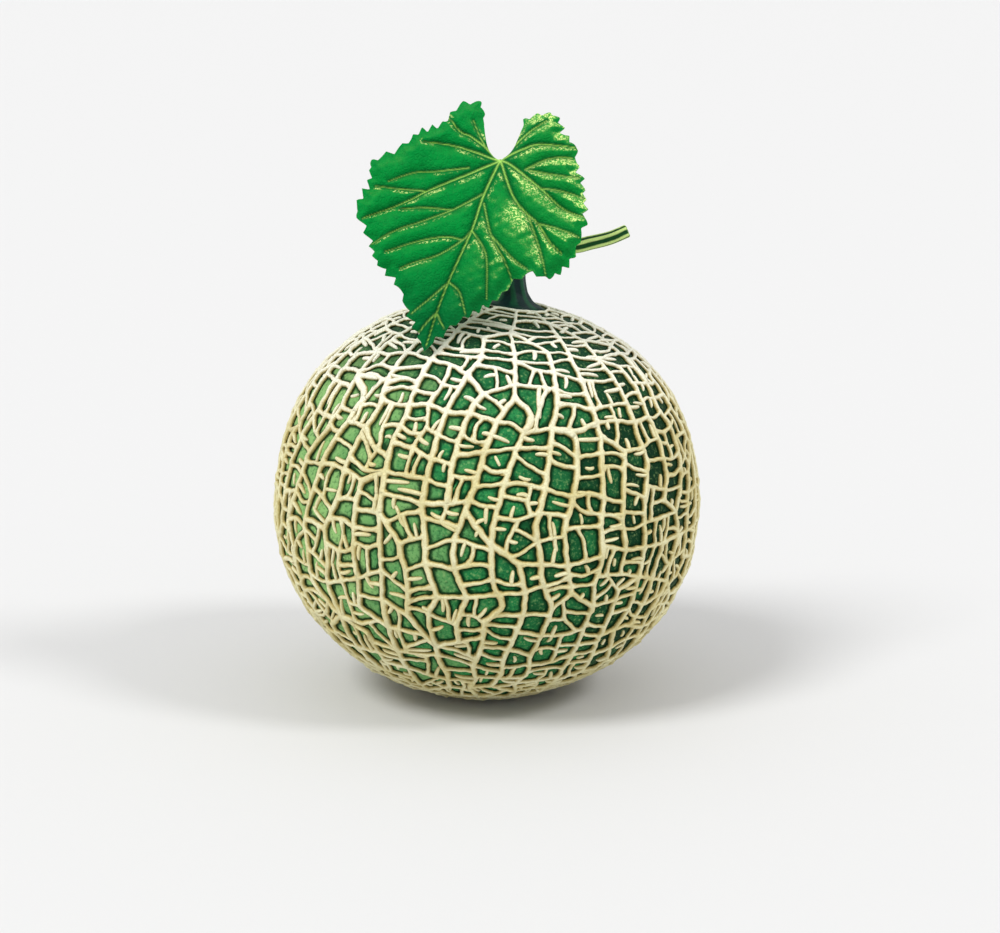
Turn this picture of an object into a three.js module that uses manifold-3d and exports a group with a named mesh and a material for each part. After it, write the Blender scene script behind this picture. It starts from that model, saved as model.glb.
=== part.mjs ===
// A netted muskmelon as picked: the fruit, its raised corky net, the stalk with a short
// piece of vine, and one leaf. Millimetres, +Z up. The origin is the middle of the flat
// spot that the fruit rests on, and the leaf hangs in front, towards -Y.
import * as THREE from 'three';
import { mergeVertices } from 'three/addons/utils/BufferGeometryUtils.js';
import Module from 'manifold-3d';

const wasm = await Module();
wasm.setup();

const { degToRad, smoothstep, lerp, clamp } = THREE.MathUtils;

// Driving dimensions of the fruit
const FRUIT_RADIUS = 73.4;
const UPPER_HEIGHT = 72.5;
const LOWER_HEIGHT = 65.5;
const UPPER_FULLNESS = 2.2;
const LOWER_FULLNESS = 2.0;
const LEAN = degToRad(7.6);
const REST_DEPTH = 0.54;
const REST_ANGLE = 0.136;
const FRUIT_SIDES = 48;
const FRUIT_RINGS = 21;

// Driving dimensions of the raised net
const NET_SEED = 7;
const NET_TOP_ANGLE = 0.175;
const NET_BOTTOM_ANGLE = 0.215;
const NET_UNDERSIDE = 0.68;
const NET_CREST = 1.85;
const CELL_AREA = 200;
const [MAIN, RUNG] = [0, 1];
const HALF_WIDTHS = [1.35, 1.15];
const FIRST_LINES = 6;
const LINE_STEPS = 20;
const RIDGE_STEP = 0.135;
const RIDGE_LEAD = 0.075;
const LONGEST_CELL = 0.42;
const BEND_LENGTH = 11;
const SNAP = 3;
const SHARPEST = 0.6;
const ATTEMPTS = 12;
const MITRE = 2.4;

// How its lines run from end to end: the columns that take a new line, in millimetres, and the
// stretches and gaps of a broken line, as angles off the stalk
const COLUMN_WIDTHS = [15, 18.5];
const BROKEN_COLUMN = 16;
const WHOLE = [9, 9];
const BROKEN_RUN = [0.35, 1.0];
const BROKEN_GAP = [0.12, 0.24];
const SHORTEST_RUN = 0.15;
const RAGGED_START = 0.06;
const COLUMN_STEP = 0.01;
const SWAY = 0.11;

// How a cell cracks: how far off square, and what makes one crack better than another
const TILT = 0.4;
const AREA_SPREAD = [0.85, 1.25];
const SQUARE_WEIGHT = 0.2;
const SQUARE_ENOUGH = 1.4;
const LENGTH_WEIGHT = 0.45;
const THINNEST_SHARE = 0.22;
const CRACK_BEND = 0.14;

// How far a point may stand off a straight ridge and still be dropped, and between which ends
const STRAIGHT_SLACK = 0.9;
const STRAIGHT_SPAN = 0.19;

// Driving dimensions of the stalk and the vine
const STALK_RADIUS = 4.5;
const FOOT_RADIUS = 9.8;
const FOOT_GAP = 0.35;
const FOOT_TOP = 7;
const FOOT_SWEEP = [[FOOT_RADIUS - 0.3, 0.7], [8, 1.4], [6.3, 2.6], [5.2, 4.4], [STALK_RADIUS, FOOT_TOP]];
const VINE_RADIUS = 2.8;
const VINE_CUT_RADIUS = 2.15;
const VINE_RIBS = 5;
const RIB_SHARE = 0.1;
const VINE_SIDES = 15;
const FOOT_SIDES = 24;
const VINE_ROUTE = [[-12, 4, 88.5], [-3, 2, 90.5], [9, 0, 91.5], [20, 0, 91.7], [30.7, 0, 92.2],
  [35.8, 0, 93.3], [42.7, 0, 95], [48.9, 0, 97.6]];
const STALK_ROUTE = [[10, 0, 75], [9.2, 0, 80], [9, 0, 86], [9, 0, 91.5]];

// Driving dimensions of the leaf. Its outline is flat, to the right of and below its stalk.
const LEAF_THICKNESS = 0.9;
const LEAF_JOINT = [4.9, -16.7, 123.3];
const LEAF_PITCH = degToRad(24.7);
const LEAF_MIDDLE = new THREE.Vector2(-10, 19.3);
const LEAF_RINGS = [0.34, 0.62, 0.85];
const TOOTH_SPACING = 4.4;
const TOOTH_DEPTH = 1.8;
const TOOTHLESS = 15;
const FOLD_RISE = 0.16;
const FOLD_ROUND = 3;
const ARCH_RISE = 3;
const LOBE_DROP = 0.011;
const WAVE = { rise: 0.9, across: 0.33, along: 0.27, width: 20 };
const LEAF_LENGTH = 66.5;
const PETIOLE_RADIUS = 1.9;
const PETIOLE_TIP_RADIUS = 1.4;
const PETIOLE_SIDES = 8;
const PETIOLE_ROUTE = [[9, 0.4, 94.5], [9, 2.5, 100], [8.5, 2.5, 107], [7.5, -3, 115], [6, -11, 120.5],
  [4.9, -16.7, 122.9]];
const LEAF_OUTLINE = [
  [0, 0], [4, -3.5], [7.5, -12], [9, -16], [16, -17], [20.5, -14.5], [22.5, -9], [26.5, -4.5], [27, 3],
  [29, 9], [29.5, 22], [27, 30], [24, 36.5], [17, 42], [9, 40.5], [4, 43.5], [-2, 49.5], [-11.5, 55],
  [-18, 60], [-25, 66.5], [-27, 61.5], [-30, 55], [-33, 46], [-36, 41.5], [-42, 35.5], [-44, 30],
  [-47, 23.5], [-49.5, 18.5], [-48, 14], [-45, 9.5], [-42.5, 3.5], [-44, 0], [-38, -2.5], [-31.5, -7],
  [-27.5, -11], [-19.5, -14.5], [-16, -18.5], [-12.5, -21.5], [-7.5, -21.5], [-5.5, -18],
  [-5.5, -13.5], [-4.5, -5.5], [-2.5, -2], [0, 0],
];

const CENTRE = new THREE.Vector3(0, 0, LOWER_HEIGHT - REST_DEPTH);
const ORIGIN = new THREE.Vector2(0, 0);
const vec = (x, y, z) => new THREE.Vector3(x, y, z);

// A seeded random number from 0 to 1, the same on every run.
function seededRandom(seed) {
  let state = seed >>> 0;
  return () => {
    state = (state + 0x6d2b79f5) >>> 0;
    let t = state;
    t = Math.imul(t ^ (t >>> 15), t | 1);
    t ^= t + Math.imul(t ^ (t >>> 7), t | 61);
    return ((t ^ (t >>> 14)) >>> 0) / 4294967296;
  };
}

// The skin is a full round above the middle and a plainer one below, seen from its centre.
function skinRadius(polar) {
  const upper = Math.cos(polar) > 0;
  const height = upper ? UPPER_HEIGHT : LOWER_HEIGHT;
  const power = upper ? UPPER_FULLNESS : LOWER_FULLNESS;
  const across = Math.abs(Math.sin(polar)) / FRUIT_RADIUS;
  const along = Math.abs(Math.cos(polar)) / height;
  return (across ** power + along ** power) ** (-1 / power);
}

// The stalk end leans towards +X while the blossom end stays level on the rest spot.
function lean(point) {
  const level = point.z / point.length();
  return point.clone().applyAxisAngle(vec(0, 1, 0), LEAN * smoothstep(level, -0.9, 1));
}

// The point above the skin in a direction from the fruit's own centre, never below the rest.
function abovePoint(direction, height) {
  const polar = Math.acos(clamp(direction.z, -1, 1));
  const step = 0.001;
  const slope = (skinRadius(polar + step) - skinRadius(polar - step)) / (2 * step * skinRadius(polar));
  const downhill = vec(direction.x * direction.z, direction.y * direction.z, direction.z ** 2 - 1);
  const across = Math.max(downhill.length(), 1e-9);
  const normal = direction.clone().addScaledVector(downhill, -slope / across).normalize();
  const point = direction.clone().multiplyScalar(skinRadius(polar)).addScaledVector(normal, height);
  const placed = lean(point).add(CENTRE);
  placed.z = Math.max(placed.z, 0);
  return placed;
}

function geometryFrom(points, triangles) {
  const geometry = new THREE.BufferGeometry();
  geometry.setAttribute('position', new THREE.Float32BufferAttribute(points.flatMap((p) => p.toArray()), 3));
  geometry.setIndex(triangles);
  return geometry;
}

// One closed solid of the fruit, turned from its half outline, with its rest cut flat.
function fruitGeometry() {
  const outline = [new THREE.Vector2(0, REST_DEPTH - LOWER_HEIGHT)];
  for (let ring = 0; ring <= FRUIT_RINGS; ring += 1) {
    const polar = Math.PI - REST_ANGLE - ((Math.PI - REST_ANGLE) * ring) / FRUIT_RINGS;
    const reach = skinRadius(polar);
    const radius = ring === FRUIT_RINGS ? 0 : reach * Math.sin(polar);
    const height = ring === 0 ? REST_DEPTH - LOWER_HEIGHT : reach * Math.cos(polar);
    outline.push(new THREE.Vector2(radius, height));
  }
  const turned = new THREE.LatheGeometry(outline, FRUIT_SIDES).rotateX(Math.PI / 2);
  const place = turned.getAttribute('position');
  const point = new THREE.Vector3();
  for (let i = 0; i < place.count; i += 1) {
    point.fromBufferAttribute(place, i);
    point.copy(lean(point)).add(CENTRE);
    place.setXYZ(i, point.x, point.y, point.z);
  }
  return closed(turned);
}

// Merges shared vertices and drops the triangles that have no area.
function closed(geometry) {
  geometry.deleteAttribute('normal');
  geometry.deleteAttribute('uv');
  const merged = mergeVertices(geometry, 1e-4);
  const index = merged.index.array;
  const kept = [];
  for (let i = 0; i < index.length; i += 3) {
    const [a, b, c] = index.slice(i, i + 3);
    if (a !== b && b !== c && c !== a) {
      kept.push(a, b, c);
    }
  }
  merged.setIndex(kept);
  return merged;
}

const direction = (polar, bearing) =>
  vec(Math.sin(polar) * Math.cos(bearing), Math.sin(polar) * Math.sin(bearing), Math.cos(polar));
const polarOf = (point) => Math.acos(clamp(point.z, -1, 1));
const bearingOf = (point) => Math.atan2(point.y, point.x);
const span = (a, b) => FRUIT_RADIUS * a.distanceTo(b);
const edgeKey = (a, b) => `${a},${b}`;
const kindKey = (a, b) => edgeKey(Math.min(a, b), Math.max(a, b));

// The net's plan on a round ball: points, and the cells of bare skin between its ridges. Each
// cell is a loop of points, counter-clockwise from outside, and is split as a rind cracks.
class NetPlan {
  constructor(seed) {
    this.points = [];
    this.cells = [];
    this.owner = new Map();
    this.kinds = new Map();
    this.random = seededRandom(seed);
  }

  between(low, high) {
    return low + (high - low) * this.random();
  }

  addPoint(place) {
    return this.points.push(place.clone().normalize()) - 1;
  }

  addCell(loop) {
    this.cells.push(loop);
    this.claim(this.cells.length - 1);
  }

  claim(cell) {
    const loop = this.cells[cell];
    loop.forEach((point, i) => this.owner.set(edgeKey(loop.at(i - 1), point), cell));
  }

  mark(path, kind) {
    path.slice(1).forEach((point, i) => this.kinds.set(kindKey(path[i], point), kind));
  }

  // Puts a new point on the ridge from a to b, in the cells on both of its sides.
  insert(a, b, share) {
    const point = this.addPoint(this.points[a].clone().lerp(this.points[b], share));
    const kind = this.kinds.get(kindKey(a, b));
    this.kinds.delete(kindKey(a, b));
    this.mark([a, point, b], kind);
    for (const [from, to] of [[a, b], [b, a]]) {
      const cell = this.owner.get(edgeKey(from, to));
      this.owner.delete(edgeKey(from, to));
      this.cells[cell].splice(this.cells[cell].indexOf(to), 0, point);
      this.owner.set(edgeKey(from, point), cell).set(edgeKey(point, to), cell);
    }
    return point;
  }

  // Splits a cell by a path from one of its points to another.
  split(cell, path, kind) {
    const loop = this.cells[cell];
    const start = loop.indexOf(path[0]);
    const turned = [...loop.slice(start), ...loop.slice(0, start)];
    const end = turned.indexOf(path.at(-1));
    const inside = path.slice(1, -1);
    this.mark(path, kind);
    this.cells[cell] = [...turned.slice(0, end + 1), ...inside.toReversed()];
    this.claim(cell);
    this.addCell([...turned.slice(end), path[0], ...inside]);
  }

  // A cell laid out flat, in millimetres, on the plane that touches the ball at its middle.
  flatten(loop) {
    const centre = vec(0, 0, 0);
    loop.forEach((point, i) => {
      const [a, b] = [this.points[loop.at(i - 1)], this.points[point]];
      centre.addScaledVector(a.clone().add(b), span(a, b));
    });
    centre.normalize();
    const east = vec(0, 0, 1).cross(centre).normalize();
    const north = centre.clone().cross(east);
    const flat = loop.map((point) => {
      const place = this.points[point];
      const scale = FRUIT_RADIUS / Math.max(0.15, place.dot(centre));
      return new THREE.Vector2(place.dot(east) * scale, place.dot(north) * scale);
    });
    const lift = (spot) => centre.clone()
      .addScaledVector(east, spot.x / FRUIT_RADIUS)
      .addScaledVector(north, spot.y / FRUIT_RADIUS);
    return { flat, lift };
  }

  // The bearing of a line that runs from stalk to blossom end, where it crosses an angle.
  bearingAt(line, polar) {
    let bearing = bearingOf(this.points[line[0]]);
    for (let i = 1; i < line.length; i += 1) {
      const [above, below] = [this.points[line[i - 1]], this.points[line[i]]];
      let next = bearingOf(below);
      next += 2 * Math.PI * Math.round((bearing - next) / (2 * Math.PI));
      if (polar <= polarOf(below) || i === line.length - 1) {
        const share = (polar - polarOf(above)) / (polarOf(below) - polarOf(above));
        return lerp(bearing, next, clamp(share, 0, 1));
      }
      bearing = next;
    }
    return bearing;
  }

  // Grows ridges down the middle of the column between two lines where it is wide enough. Each
  // ridge bends out of one of the two lines at its top, and back into one at its foot.
  addRidges(left, right, need, run, gap) {
    const columnAt = (polar) => {
      const turn = this.bearingAt(right, polar) - this.bearingAt(left, polar);
      return turn - 2 * Math.PI * Math.floor(turn / (2 * Math.PI));
    };
    const wide = [];
    const [from, to] = [[1, Math.max], [-2, Math.min]].map(([i, furthest]) => (
      furthest(...[left, right].map((line) => polarOf(this.points[line.at(i)])))));
    for (let polar = from; polar < to; polar += COLUMN_STEP) {
      if (columnAt(polar) * Math.sin(polar) * FRUIT_RADIUS > need) {
        wide.push(polar);
      }
    }
    const lines = [];
    if (wide.length === 0) {
      return lines;
    }
    const first = wide[0] + this.between(0, RAGGED_START);
    const last = wide.at(-1) - this.between(0, RAGGED_START);
    for (let start = first; start < last - SHORTEST_RUN;) {
      let end = Math.min(last, start + this.between(...run));
      end = last - end < 0.2 ? last : end;
      const [upper, lower] = [this.random(), this.random()].map((draw) => (draw < 0.5 ? left : right));
      const top = this.nearest(upper, start - RIDGE_LEAD);
      const foot = this.nearest(lower, end + RIDGE_LEAD);
      const path = [top];
      const steps = Math.max(1, Math.round((end - start) / RIDGE_STEP));
      let wander = this.between(-1, 1);
      for (let i = 0; i <= steps; i += 1) {
        const jitter = i > 0 && i < steps ? this.between(-0.2, 0.2) * RIDGE_STEP : 0;
        const polar = lerp(start, end, i / steps) + jitter;
        wander = 0.6 * wander + this.between(-0.7, 0.7);
        const bearing = this.bearingAt(left, polar) + columnAt(polar) * (0.5 + SWAY * wander);
        path.push(this.addPoint(direction(polar, bearing)));
      }
      path.push(foot);
      const cell = this.cellBeside(upper, top, upper === left);
      if (top !== foot && cell === this.cellBeside(lower, foot, lower === left)) {
        this.split(cell, path, MAIN);
        lines.push(path);
      }
      start = end + this.between(...gap);
    }
    return lines;
  }

  nearest(line, polar) {
    const off = (point) => Math.abs(polarOf(this.points[point]) - polar);
    return line.slice(1, -1).reduce((best, point) => (off(point) < off(best) ? point : best));
  }

  cellBeside(line, point, onLeft) {
    const next = line[line.indexOf(point) + 1];
    return this.owner.get(onLeft ? edgeKey(point, next) : edgeKey(next, point));
  }

  // Cuts a cell that is too long from top to bottom straight across, near its middle.
  cutAcross(cell, longest) {
    const loop = this.cells[cell];
    const polars = loop.map((point) => polarOf(this.points[point]));
    const [low, high] = [Math.min(...polars), Math.max(...polars)];
    if (high - low < longest) {
      return false;
    }
    for (let attempt = 0; attempt < ATTEMPTS; attempt += 1) {
      const level = lerp(low, high, this.between(0.35, 0.65));
      const crossings = loop.keys().filter((i) => (polars.at(i - 1) < level) !== (polars[i] < level));
      const ends = [...crossings].map((i) => ({
        from: loop.at(i - 1),
        to: loop[i],
        share: (level - polars.at(i - 1)) / (polars[i] - polars.at(i - 1)),
      }));
      if (ends.length === 2) {
        const [a, b] = ends.map((end) => this.settle(end, SNAP));
        if (a !== b && !this.owner.has(edgeKey(a, b)) && !this.owner.has(edgeKey(b, a))) {
          this.split(cell, [a, ...this.bend(a, b), b], RUNG);
          return true;
        }
      }
    }
    return false;
  }

  // The end of a crack on a ridge: a point that is there already, or else a new one.
  settle({ from, to, share }, snap) {
    const length = span(this.points[from], this.points[to]);
    if (share * length < snap && share <= 0.5) {
      return from;
    }
    return (1 - share) * length < snap ? to : this.insert(from, to, share);
  }

  // One point in the middle of a long crack, a little off its straight line.
  bend(a, b) {
    const [from, to] = [this.points[a], this.points[b]];
    if (span(from, to) < BEND_LENGTH) {
      return [];
    }
    const aside = from.clone().cross(to).multiplyScalar(this.between(-CRACK_BEND, CRACK_BEND));
    return [this.addPoint(from.clone().add(to).normalize().add(aside))];
  }

  // Cracks a cell across. Of several straight tries the one that leaves the best halves stays.
  crack(cell, kind, snap, tilt) {
    const loop = this.cells[cell];
    const { flat } = this.flatten(loop);
    const count = loop.length;
    const sides = flat.map((spot, i) => spot.distanceTo(flat.at(i - 1)));
    const around = sides.reduce((sum, side) => sum + side, 0);
    let best = null;
    for (let attempt = 0; attempt < ATTEMPTS; attempt += 1) {
      let along = this.between(0, around);
      let side = 0;
      while (along > sides[side] && side < count - 1) {
        along -= sides[side];
        side += 1;
      }
      const turn = Math.PI / 2 + this.between(-tilt, tilt);
      const start = { side, share: clamp(along / sides[side], 0, 1) };
      const ahead = flat[side].clone().sub(flat.at(side - 1)).normalize().rotateAround(ORIGIN, turn);
      const end = strike(flat, start, ahead);
      const ends = end && [start, end].map((hit) => snapped(hit, sides, snap));
      const score = ends ? crackScore(flat, ends, snap) : -Infinity;
      if (score > (best?.score ?? -Infinity)) {
        best = { score, ends };
      }
    }
    if (!best) {
      return false;
    }
    const hits = best.ends.map(({ side, share }) => ({ from: loop.at(side - 1), to: loop[side], share }));
    const [a, b] = hits.map((hit) => this.settle(hit, 1e-6));
    this.split(cell, [a, ...this.bend(a, b), b], kind);
    return true;
  }

  area(loop) {
    return ringArea(this.flatten(loop).flat);
  }

  // Drops the points between two ridge ends that lie almost on the line between their neighbours.
  straighten(slack, longest) {
    const ridges = new Map();
    for (const key of this.kinds.keys()) {
      for (const [a, b] of [key.split(',').map(Number), key.split(',').map(Number).reverse()]) {
        ridges.set(a, [...(ridges.get(a) ?? []), b]);
      }
    }
    for (const [point, ends] of ridges) {
      const [a, b] = ends;
      const [from, to] = [this.points[a], this.points[b]];
      const straight = new THREE.Line3(from, to).closestPointToPoint(this.points[point], true, vec(0, 0, 0));
      const off = FRUIT_RADIUS * straight.normalize().distanceTo(this.points[point]);
      if (ends.length === 2 && off < slack && span(from, to) < longest && !this.kinds.has(kindKey(a, b))) {
        const kind = this.kinds.get(kindKey(a, point));
        for (const [p, q] of [[a, b], [b, a]]) {
          const cell = this.owner.get(edgeKey(p, point));
          this.cells[cell] = this.cells[cell].filter((other) => other !== point);
          this.owner.delete(edgeKey(p, point));
          this.owner.delete(edgeKey(point, q));
          this.owner.set(edgeKey(p, q), cell);
        }
        this.kinds.delete(kindKey(a, point));
        this.kinds.delete(kindKey(point, b));
        this.kinds.set(kindKey(a, b), kind);
        ridges.set(a, ridges.get(a).map((other) => (other === point ? b : other)));
        ridges.set(b, ridges.get(b).map((other) => (other === point ? a : other)));
      }
    }
  }
}

// The area inside a loop of flat spots, positive where it runs counter-clockwise.
function ringArea(flat) {
  return flat.reduce((sum, spot, i) => sum + flat.at(i - 1).cross(spot) / 2, 0);
}

// Where a straight line from a place on a cell's side, going inwards, meets the far side.
function strike(flat, start, ahead) {
  const from = flat.at(start.side - 1).clone().lerp(flat[start.side], start.share);
  let hit = null;
  flat.forEach((to, side) => {
    const back = flat.at(side - 1);
    const along = to.clone().sub(back);
    const turn = ahead.cross(along);
    if (side !== start.side && Math.abs(turn) > 1e-9) {
      const gap = back.clone().sub(from);
      const [distance, share] = [gap.cross(along) / turn, gap.cross(ahead) / turn];
      if (distance > 1e-6 && share >= 0 && share <= 1 && distance < (hit?.distance ?? Infinity)) {
        hit = { side, share, distance };
      }
    }
  });
  return hit;
}

// Moves the end of a crack to the corner of the cell that it is close to.
function snapped({ side, share }, sides, snap) {
  if (share * sides[side] < snap && share <= 0.5) {
    return { side, share: 0 };
  }
  return { side, share: (1 - share) * sides[side] < snap ? 1 : share };
}

// One half of a cell: the crack's two ends and the corners between them.
function halfCell(flat, ends, spots) {
  const [from, to] = ends.map(({ side, share }) => side + share);
  const reach = (to - from + flat.length) % flat.length;
  const corners = [];
  for (let place = Math.floor(from) + 1; place < from + reach - 1e-9; place += 1) {
    corners.push(flat[(place - 1) % flat.length]);
  }
  return [spots[0], ...corners, spots[1]];
}

function cornerAngle(loop, i) {
  const before = loop.at(i - 1).clone().sub(loop[i]);
  const after = loop[(i + 1) % loop.length].clone().sub(loop[i]);
  return Math.abs(Math.atan2(before.cross(after), before.dot(after)));
}

// A good crack is short, leaves two like halves and meets the sides squarely.
function crackScore(flat, ends, snap) {
  const spots = ends.map(({ side, share }) => flat.at(side - 1).clone().lerp(flat[side], share));
  const halves = [halfCell(flat, ends, spots), halfCell(flat, ends.toReversed(), spots.toReversed())];
  const length = spots[0].distanceTo(spots[1]);
  const areas = halves.map(ringArea);
  if (length < 2 * snap || halves.some((half) => half.length < 3) || Math.min(...areas) <= 0) {
    return -Infinity;
  }
  const corners = halves.flatMap((half) => [cornerAngle(half, 0), cornerAngle(half, half.length - 1)]);
  const sharpest = Math.min(...corners);
  if (sharpest < SHARPEST) {
    return -Infinity;
  }
  const whole = areas[0] + areas[1];
  const share = Math.min(...areas) / whole;
  const square = SQUARE_WEIGHT * Math.min(sharpest, SQUARE_ENOUGH);
  const long = (LENGTH_WEIGHT * length) / Math.sqrt(whole);
  return share + square - long - (share < THINNEST_SHARE ? 1 : 0);
}

// Adds a line in the middle of every column that is wide enough for one.
function interleave(net, lines, need, run, gap) {
  return lines.flatMap((left, i) => {
    const grown = net.addRidges(left, lines[(i + 1) % lines.length], need, run, gap);
    return grown.length === 1 ? [left, ...grown] : [left];
  });
}

// Goes on splitting cells, and the halves that come of it, until none is split any more.
function splitAll(net, splits) {
  const waiting = net.cells.map((loop, cell) => cell).slice(2);
  while (waiting.length > 0) {
    const cell = waiting.pop();
    if (splits(cell)) {
      waiting.push(cell, net.cells.length - 1);
    }
  }
}

// The net's plan. Cell 0 is the bare patch round the stalk, and cell 1 the one at the rest.
function growNet() {
  const net = new NetPlan(NET_SEED);
  const ring = (count, polar, sway) => Array.from({ length: count }, (_, i) => {
    const level = polar + net.between(-0.012, 0.012);
    return net.addPoint(direction(level, (2 * Math.PI * (i + net.between(-sway, sway))) / count));
  });
  const top = ring(2 * FIRST_LINES, NET_TOP_ANGLE, 0.15);
  const bottom = ring(FIRST_LINES, Math.PI - NET_BOTTOM_ANGLE, 0.1);
  const reach = Math.PI - NET_BOTTOM_ANGLE - NET_TOP_ANGLE;
  let lines = Array.from({ length: FIRST_LINES }, (_, k) => {
    const line = [top[2 * k]];
    let wander = 0;
    for (let i = 1; i < LINE_STEPS; i += 1) {
      const polar = NET_TOP_ANGLE + (reach * i) / LINE_STEPS + net.between(-0.02, 0.02);
      wander = 0.7 * wander + net.between(-0.6, 0.6);
      line.push(net.addPoint(direction(polar, (2 * Math.PI * k) / FIRST_LINES + 0.04 * wander)));
    }
    return [...line, bottom[k]];
  });
  net.addCell([...top]);
  net.addCell(bottom.toReversed());
  lines.forEach((left, k) => {
    const right = lines[(k + 1) % FIRST_LINES];
    const over = [2 * k + 2, 2 * k + 1].map((i) => top[i % top.length]);
    net.addCell([bottom[k], ...right.slice(1).reverse(), ...over, ...left.slice(0, -1)]);
  });
  for (const path of [...lines, [...top, top[0]], [...bottom, bottom[0]]]) {
    net.mark(path, MAIN);
  }
  for (const width of COLUMN_WIDTHS) {
    lines = interleave(net, lines, width, WHOLE, WHOLE);
  }
  interleave(net, lines, BROKEN_COLUMN, BROKEN_RUN, BROKEN_GAP);
  splitAll(net, (cell) => net.cutAcross(cell, LONGEST_CELL));
  splitAll(net, (cell) => {
    const large = net.area(net.cells[cell]) > CELL_AREA * net.between(...AREA_SPREAD);
    return large && net.crack(cell, RUNG, SNAP, TILT);
  });
  net.straighten(STRAIGHT_SLACK, STRAIGHT_SPAN);
  return net;
}

// A loop moved inwards from each of its sides by that side's width, as far as the cell allows.
function insetLoop(flat, widths) {
  let inset = flat;
  for (let share = 1; share > 0.2; share *= 0.85) {
    inset = flat.map((corner, i) => {
      const ahead = (i + 1) % flat.length;
      const into = corner.clone().sub(flat.at(i - 1)).normalize();
      const out = flat[ahead].clone().sub(corner).normalize();
      const turn = into.cross(out);
      const shift = new THREE.Vector2();
      if (Math.abs(turn) < 0.2) {
        shift.addVectors(into, out).rotateAround(ORIGIN, Math.PI / 2);
        shift.setLength((widths[i] + widths[ahead]) / 2);
      } else {
        shift.addScaledVector(into, -widths[ahead] / turn).addScaledVector(out, widths[i] / turn);
        shift.clampLength(0, MITRE * Math.max(widths[i], widths[ahead]));
      }
      return corner.clone().addScaledVector(shift, share);
    });
    if (insetFits(flat, inset)) {
      return inset;
    }
  }
  return inset;
}

// Every strip between a loop and its inset is laid out flat, and no two inset sides cross.
function insetFits(flat, inset) {
  const strips = flat.every((corner, i) => {
    const [back, foot, backFoot] = [flat.at(i - 1), inset[i], inset.at(i - 1)];
    return Math.min(ringArea([back, corner, foot]), ringArea([back, foot, backFoot])) > 0.05;
  });
  const side = (i) => [inset.at(i - 1), inset[i]];
  const leftOf = ([a, b], c) => ringArea([a, b, c]) > 0;
  const cross = (p, q) => leftOf(p, q[0]) !== leftOf(p, q[1]) && leftOf(q, p[0]) !== leftOf(q, p[1]);
  return strips && inset.every((_, i) => inset.every((__, j) => {
    const apart = Math.abs(i - j) > 1 && Math.abs(i - j) < inset.length - 1;
    return !apart || !cross(side(i), side(j));
  }));
}

// The net as one closed cage. Each ridge is a three-sided bar: two slopes up to its crest, and
// an underside that follows the skin. Where ridges meet, their undersides join in a polygon.
function netGeometry() {
  const net = growNet();
  const points = [];
  const triangles = [];
  const crests = net.points.map((point) => points.push(abovePoint(point, NET_CREST)) - 1);
  const feet = new Map();
  net.cells.forEach((loop, cell) => {
    const { flat, lift } = net.flatten(loop);
    const widths = loop.map((point, i) => HALF_WIDTHS[net.kinds.get(kindKey(loop.at(i - 1), point))]);
    insetLoop(flat, widths).forEach((spot, i) => {
      const foot = abovePoint(lift(spot).normalize(), NET_UNDERSIDE);
      feet.set(edgeKey(cell, loop[i]), points.push(foot) - 1);
    });
  });
  for (const [key, left] of net.owner) {
    const [a, b] = key.split(',').map(Number);
    const right = net.owner.get(edgeKey(b, a));
    const [leftA, leftB] = [a, b].map((point) => feet.get(edgeKey(left, point)));
    const [rightA, rightB] = [a, b].map((point) => feet.get(edgeKey(right, point)));
    triangles.push(crests[a], crests[b], leftB, crests[a], leftB, leftA);
    if (a < b) {
      triangles.push(leftA, leftB, rightB, leftA, rightB, rightA);
    }
  }
  for (const around of cellsAroundPoints(net)) {
    const joined = around.cells.map((cell) => feet.get(edgeKey(cell, around.point)));
    for (let i = 1; i < joined.length - 1; i += 1) {
      triangles.push(joined[0], joined[i + 1], joined[i]);
    }
  }
  return closed(geometryFrom(points, triangles));
}

// The cells round each point of the net, counter-clockwise from outside.
function cellsAroundPoints(net) {
  const found = [];
  const firsts = new Map([...net.owner.keys()].map((key) => key.split(',').map(Number)));
  for (const [point, first] of firsts) {
    const cells = [];
    let next = first;
    do {
      const cell = net.owner.get(edgeKey(point, next));
      const loop = net.cells[cell];
      cells.push(cell);
      next = loop.at(loop.indexOf(point) - 1);
    } while (next !== first);
    found.push({ point, cells });
  }
  return found;
}

function solidFrom(geometry) {
  const merged = closed(geometry);
  return new wasm.Manifold(new wasm.Mesh({
    numProp: 3,
    vertProperties: Float32Array.from(merged.getAttribute('position').array),
    triVerts: Uint32Array.from(merged.index.array),
  }));
}

function fuse(geometries) {
  const mesh = geometries.map(solidFrom).reduce((whole, piece) => whole.add(piece)).getMesh();
  const geometry = new THREE.BufferGeometry();
  geometry.setAttribute('position', new THREE.BufferAttribute(mesh.vertProperties, 3));
  geometry.setIndex(Array.from(mesh.triVerts));
  return geometry;
}

// A smooth curve through places that are given from the fruit's centre.
function routeCurve(route) {
  return new THREE.CatmullRomCurve3(route.map((place) => vec(...place).add(CENTRE)), false, 'centripetal');
}

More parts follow.
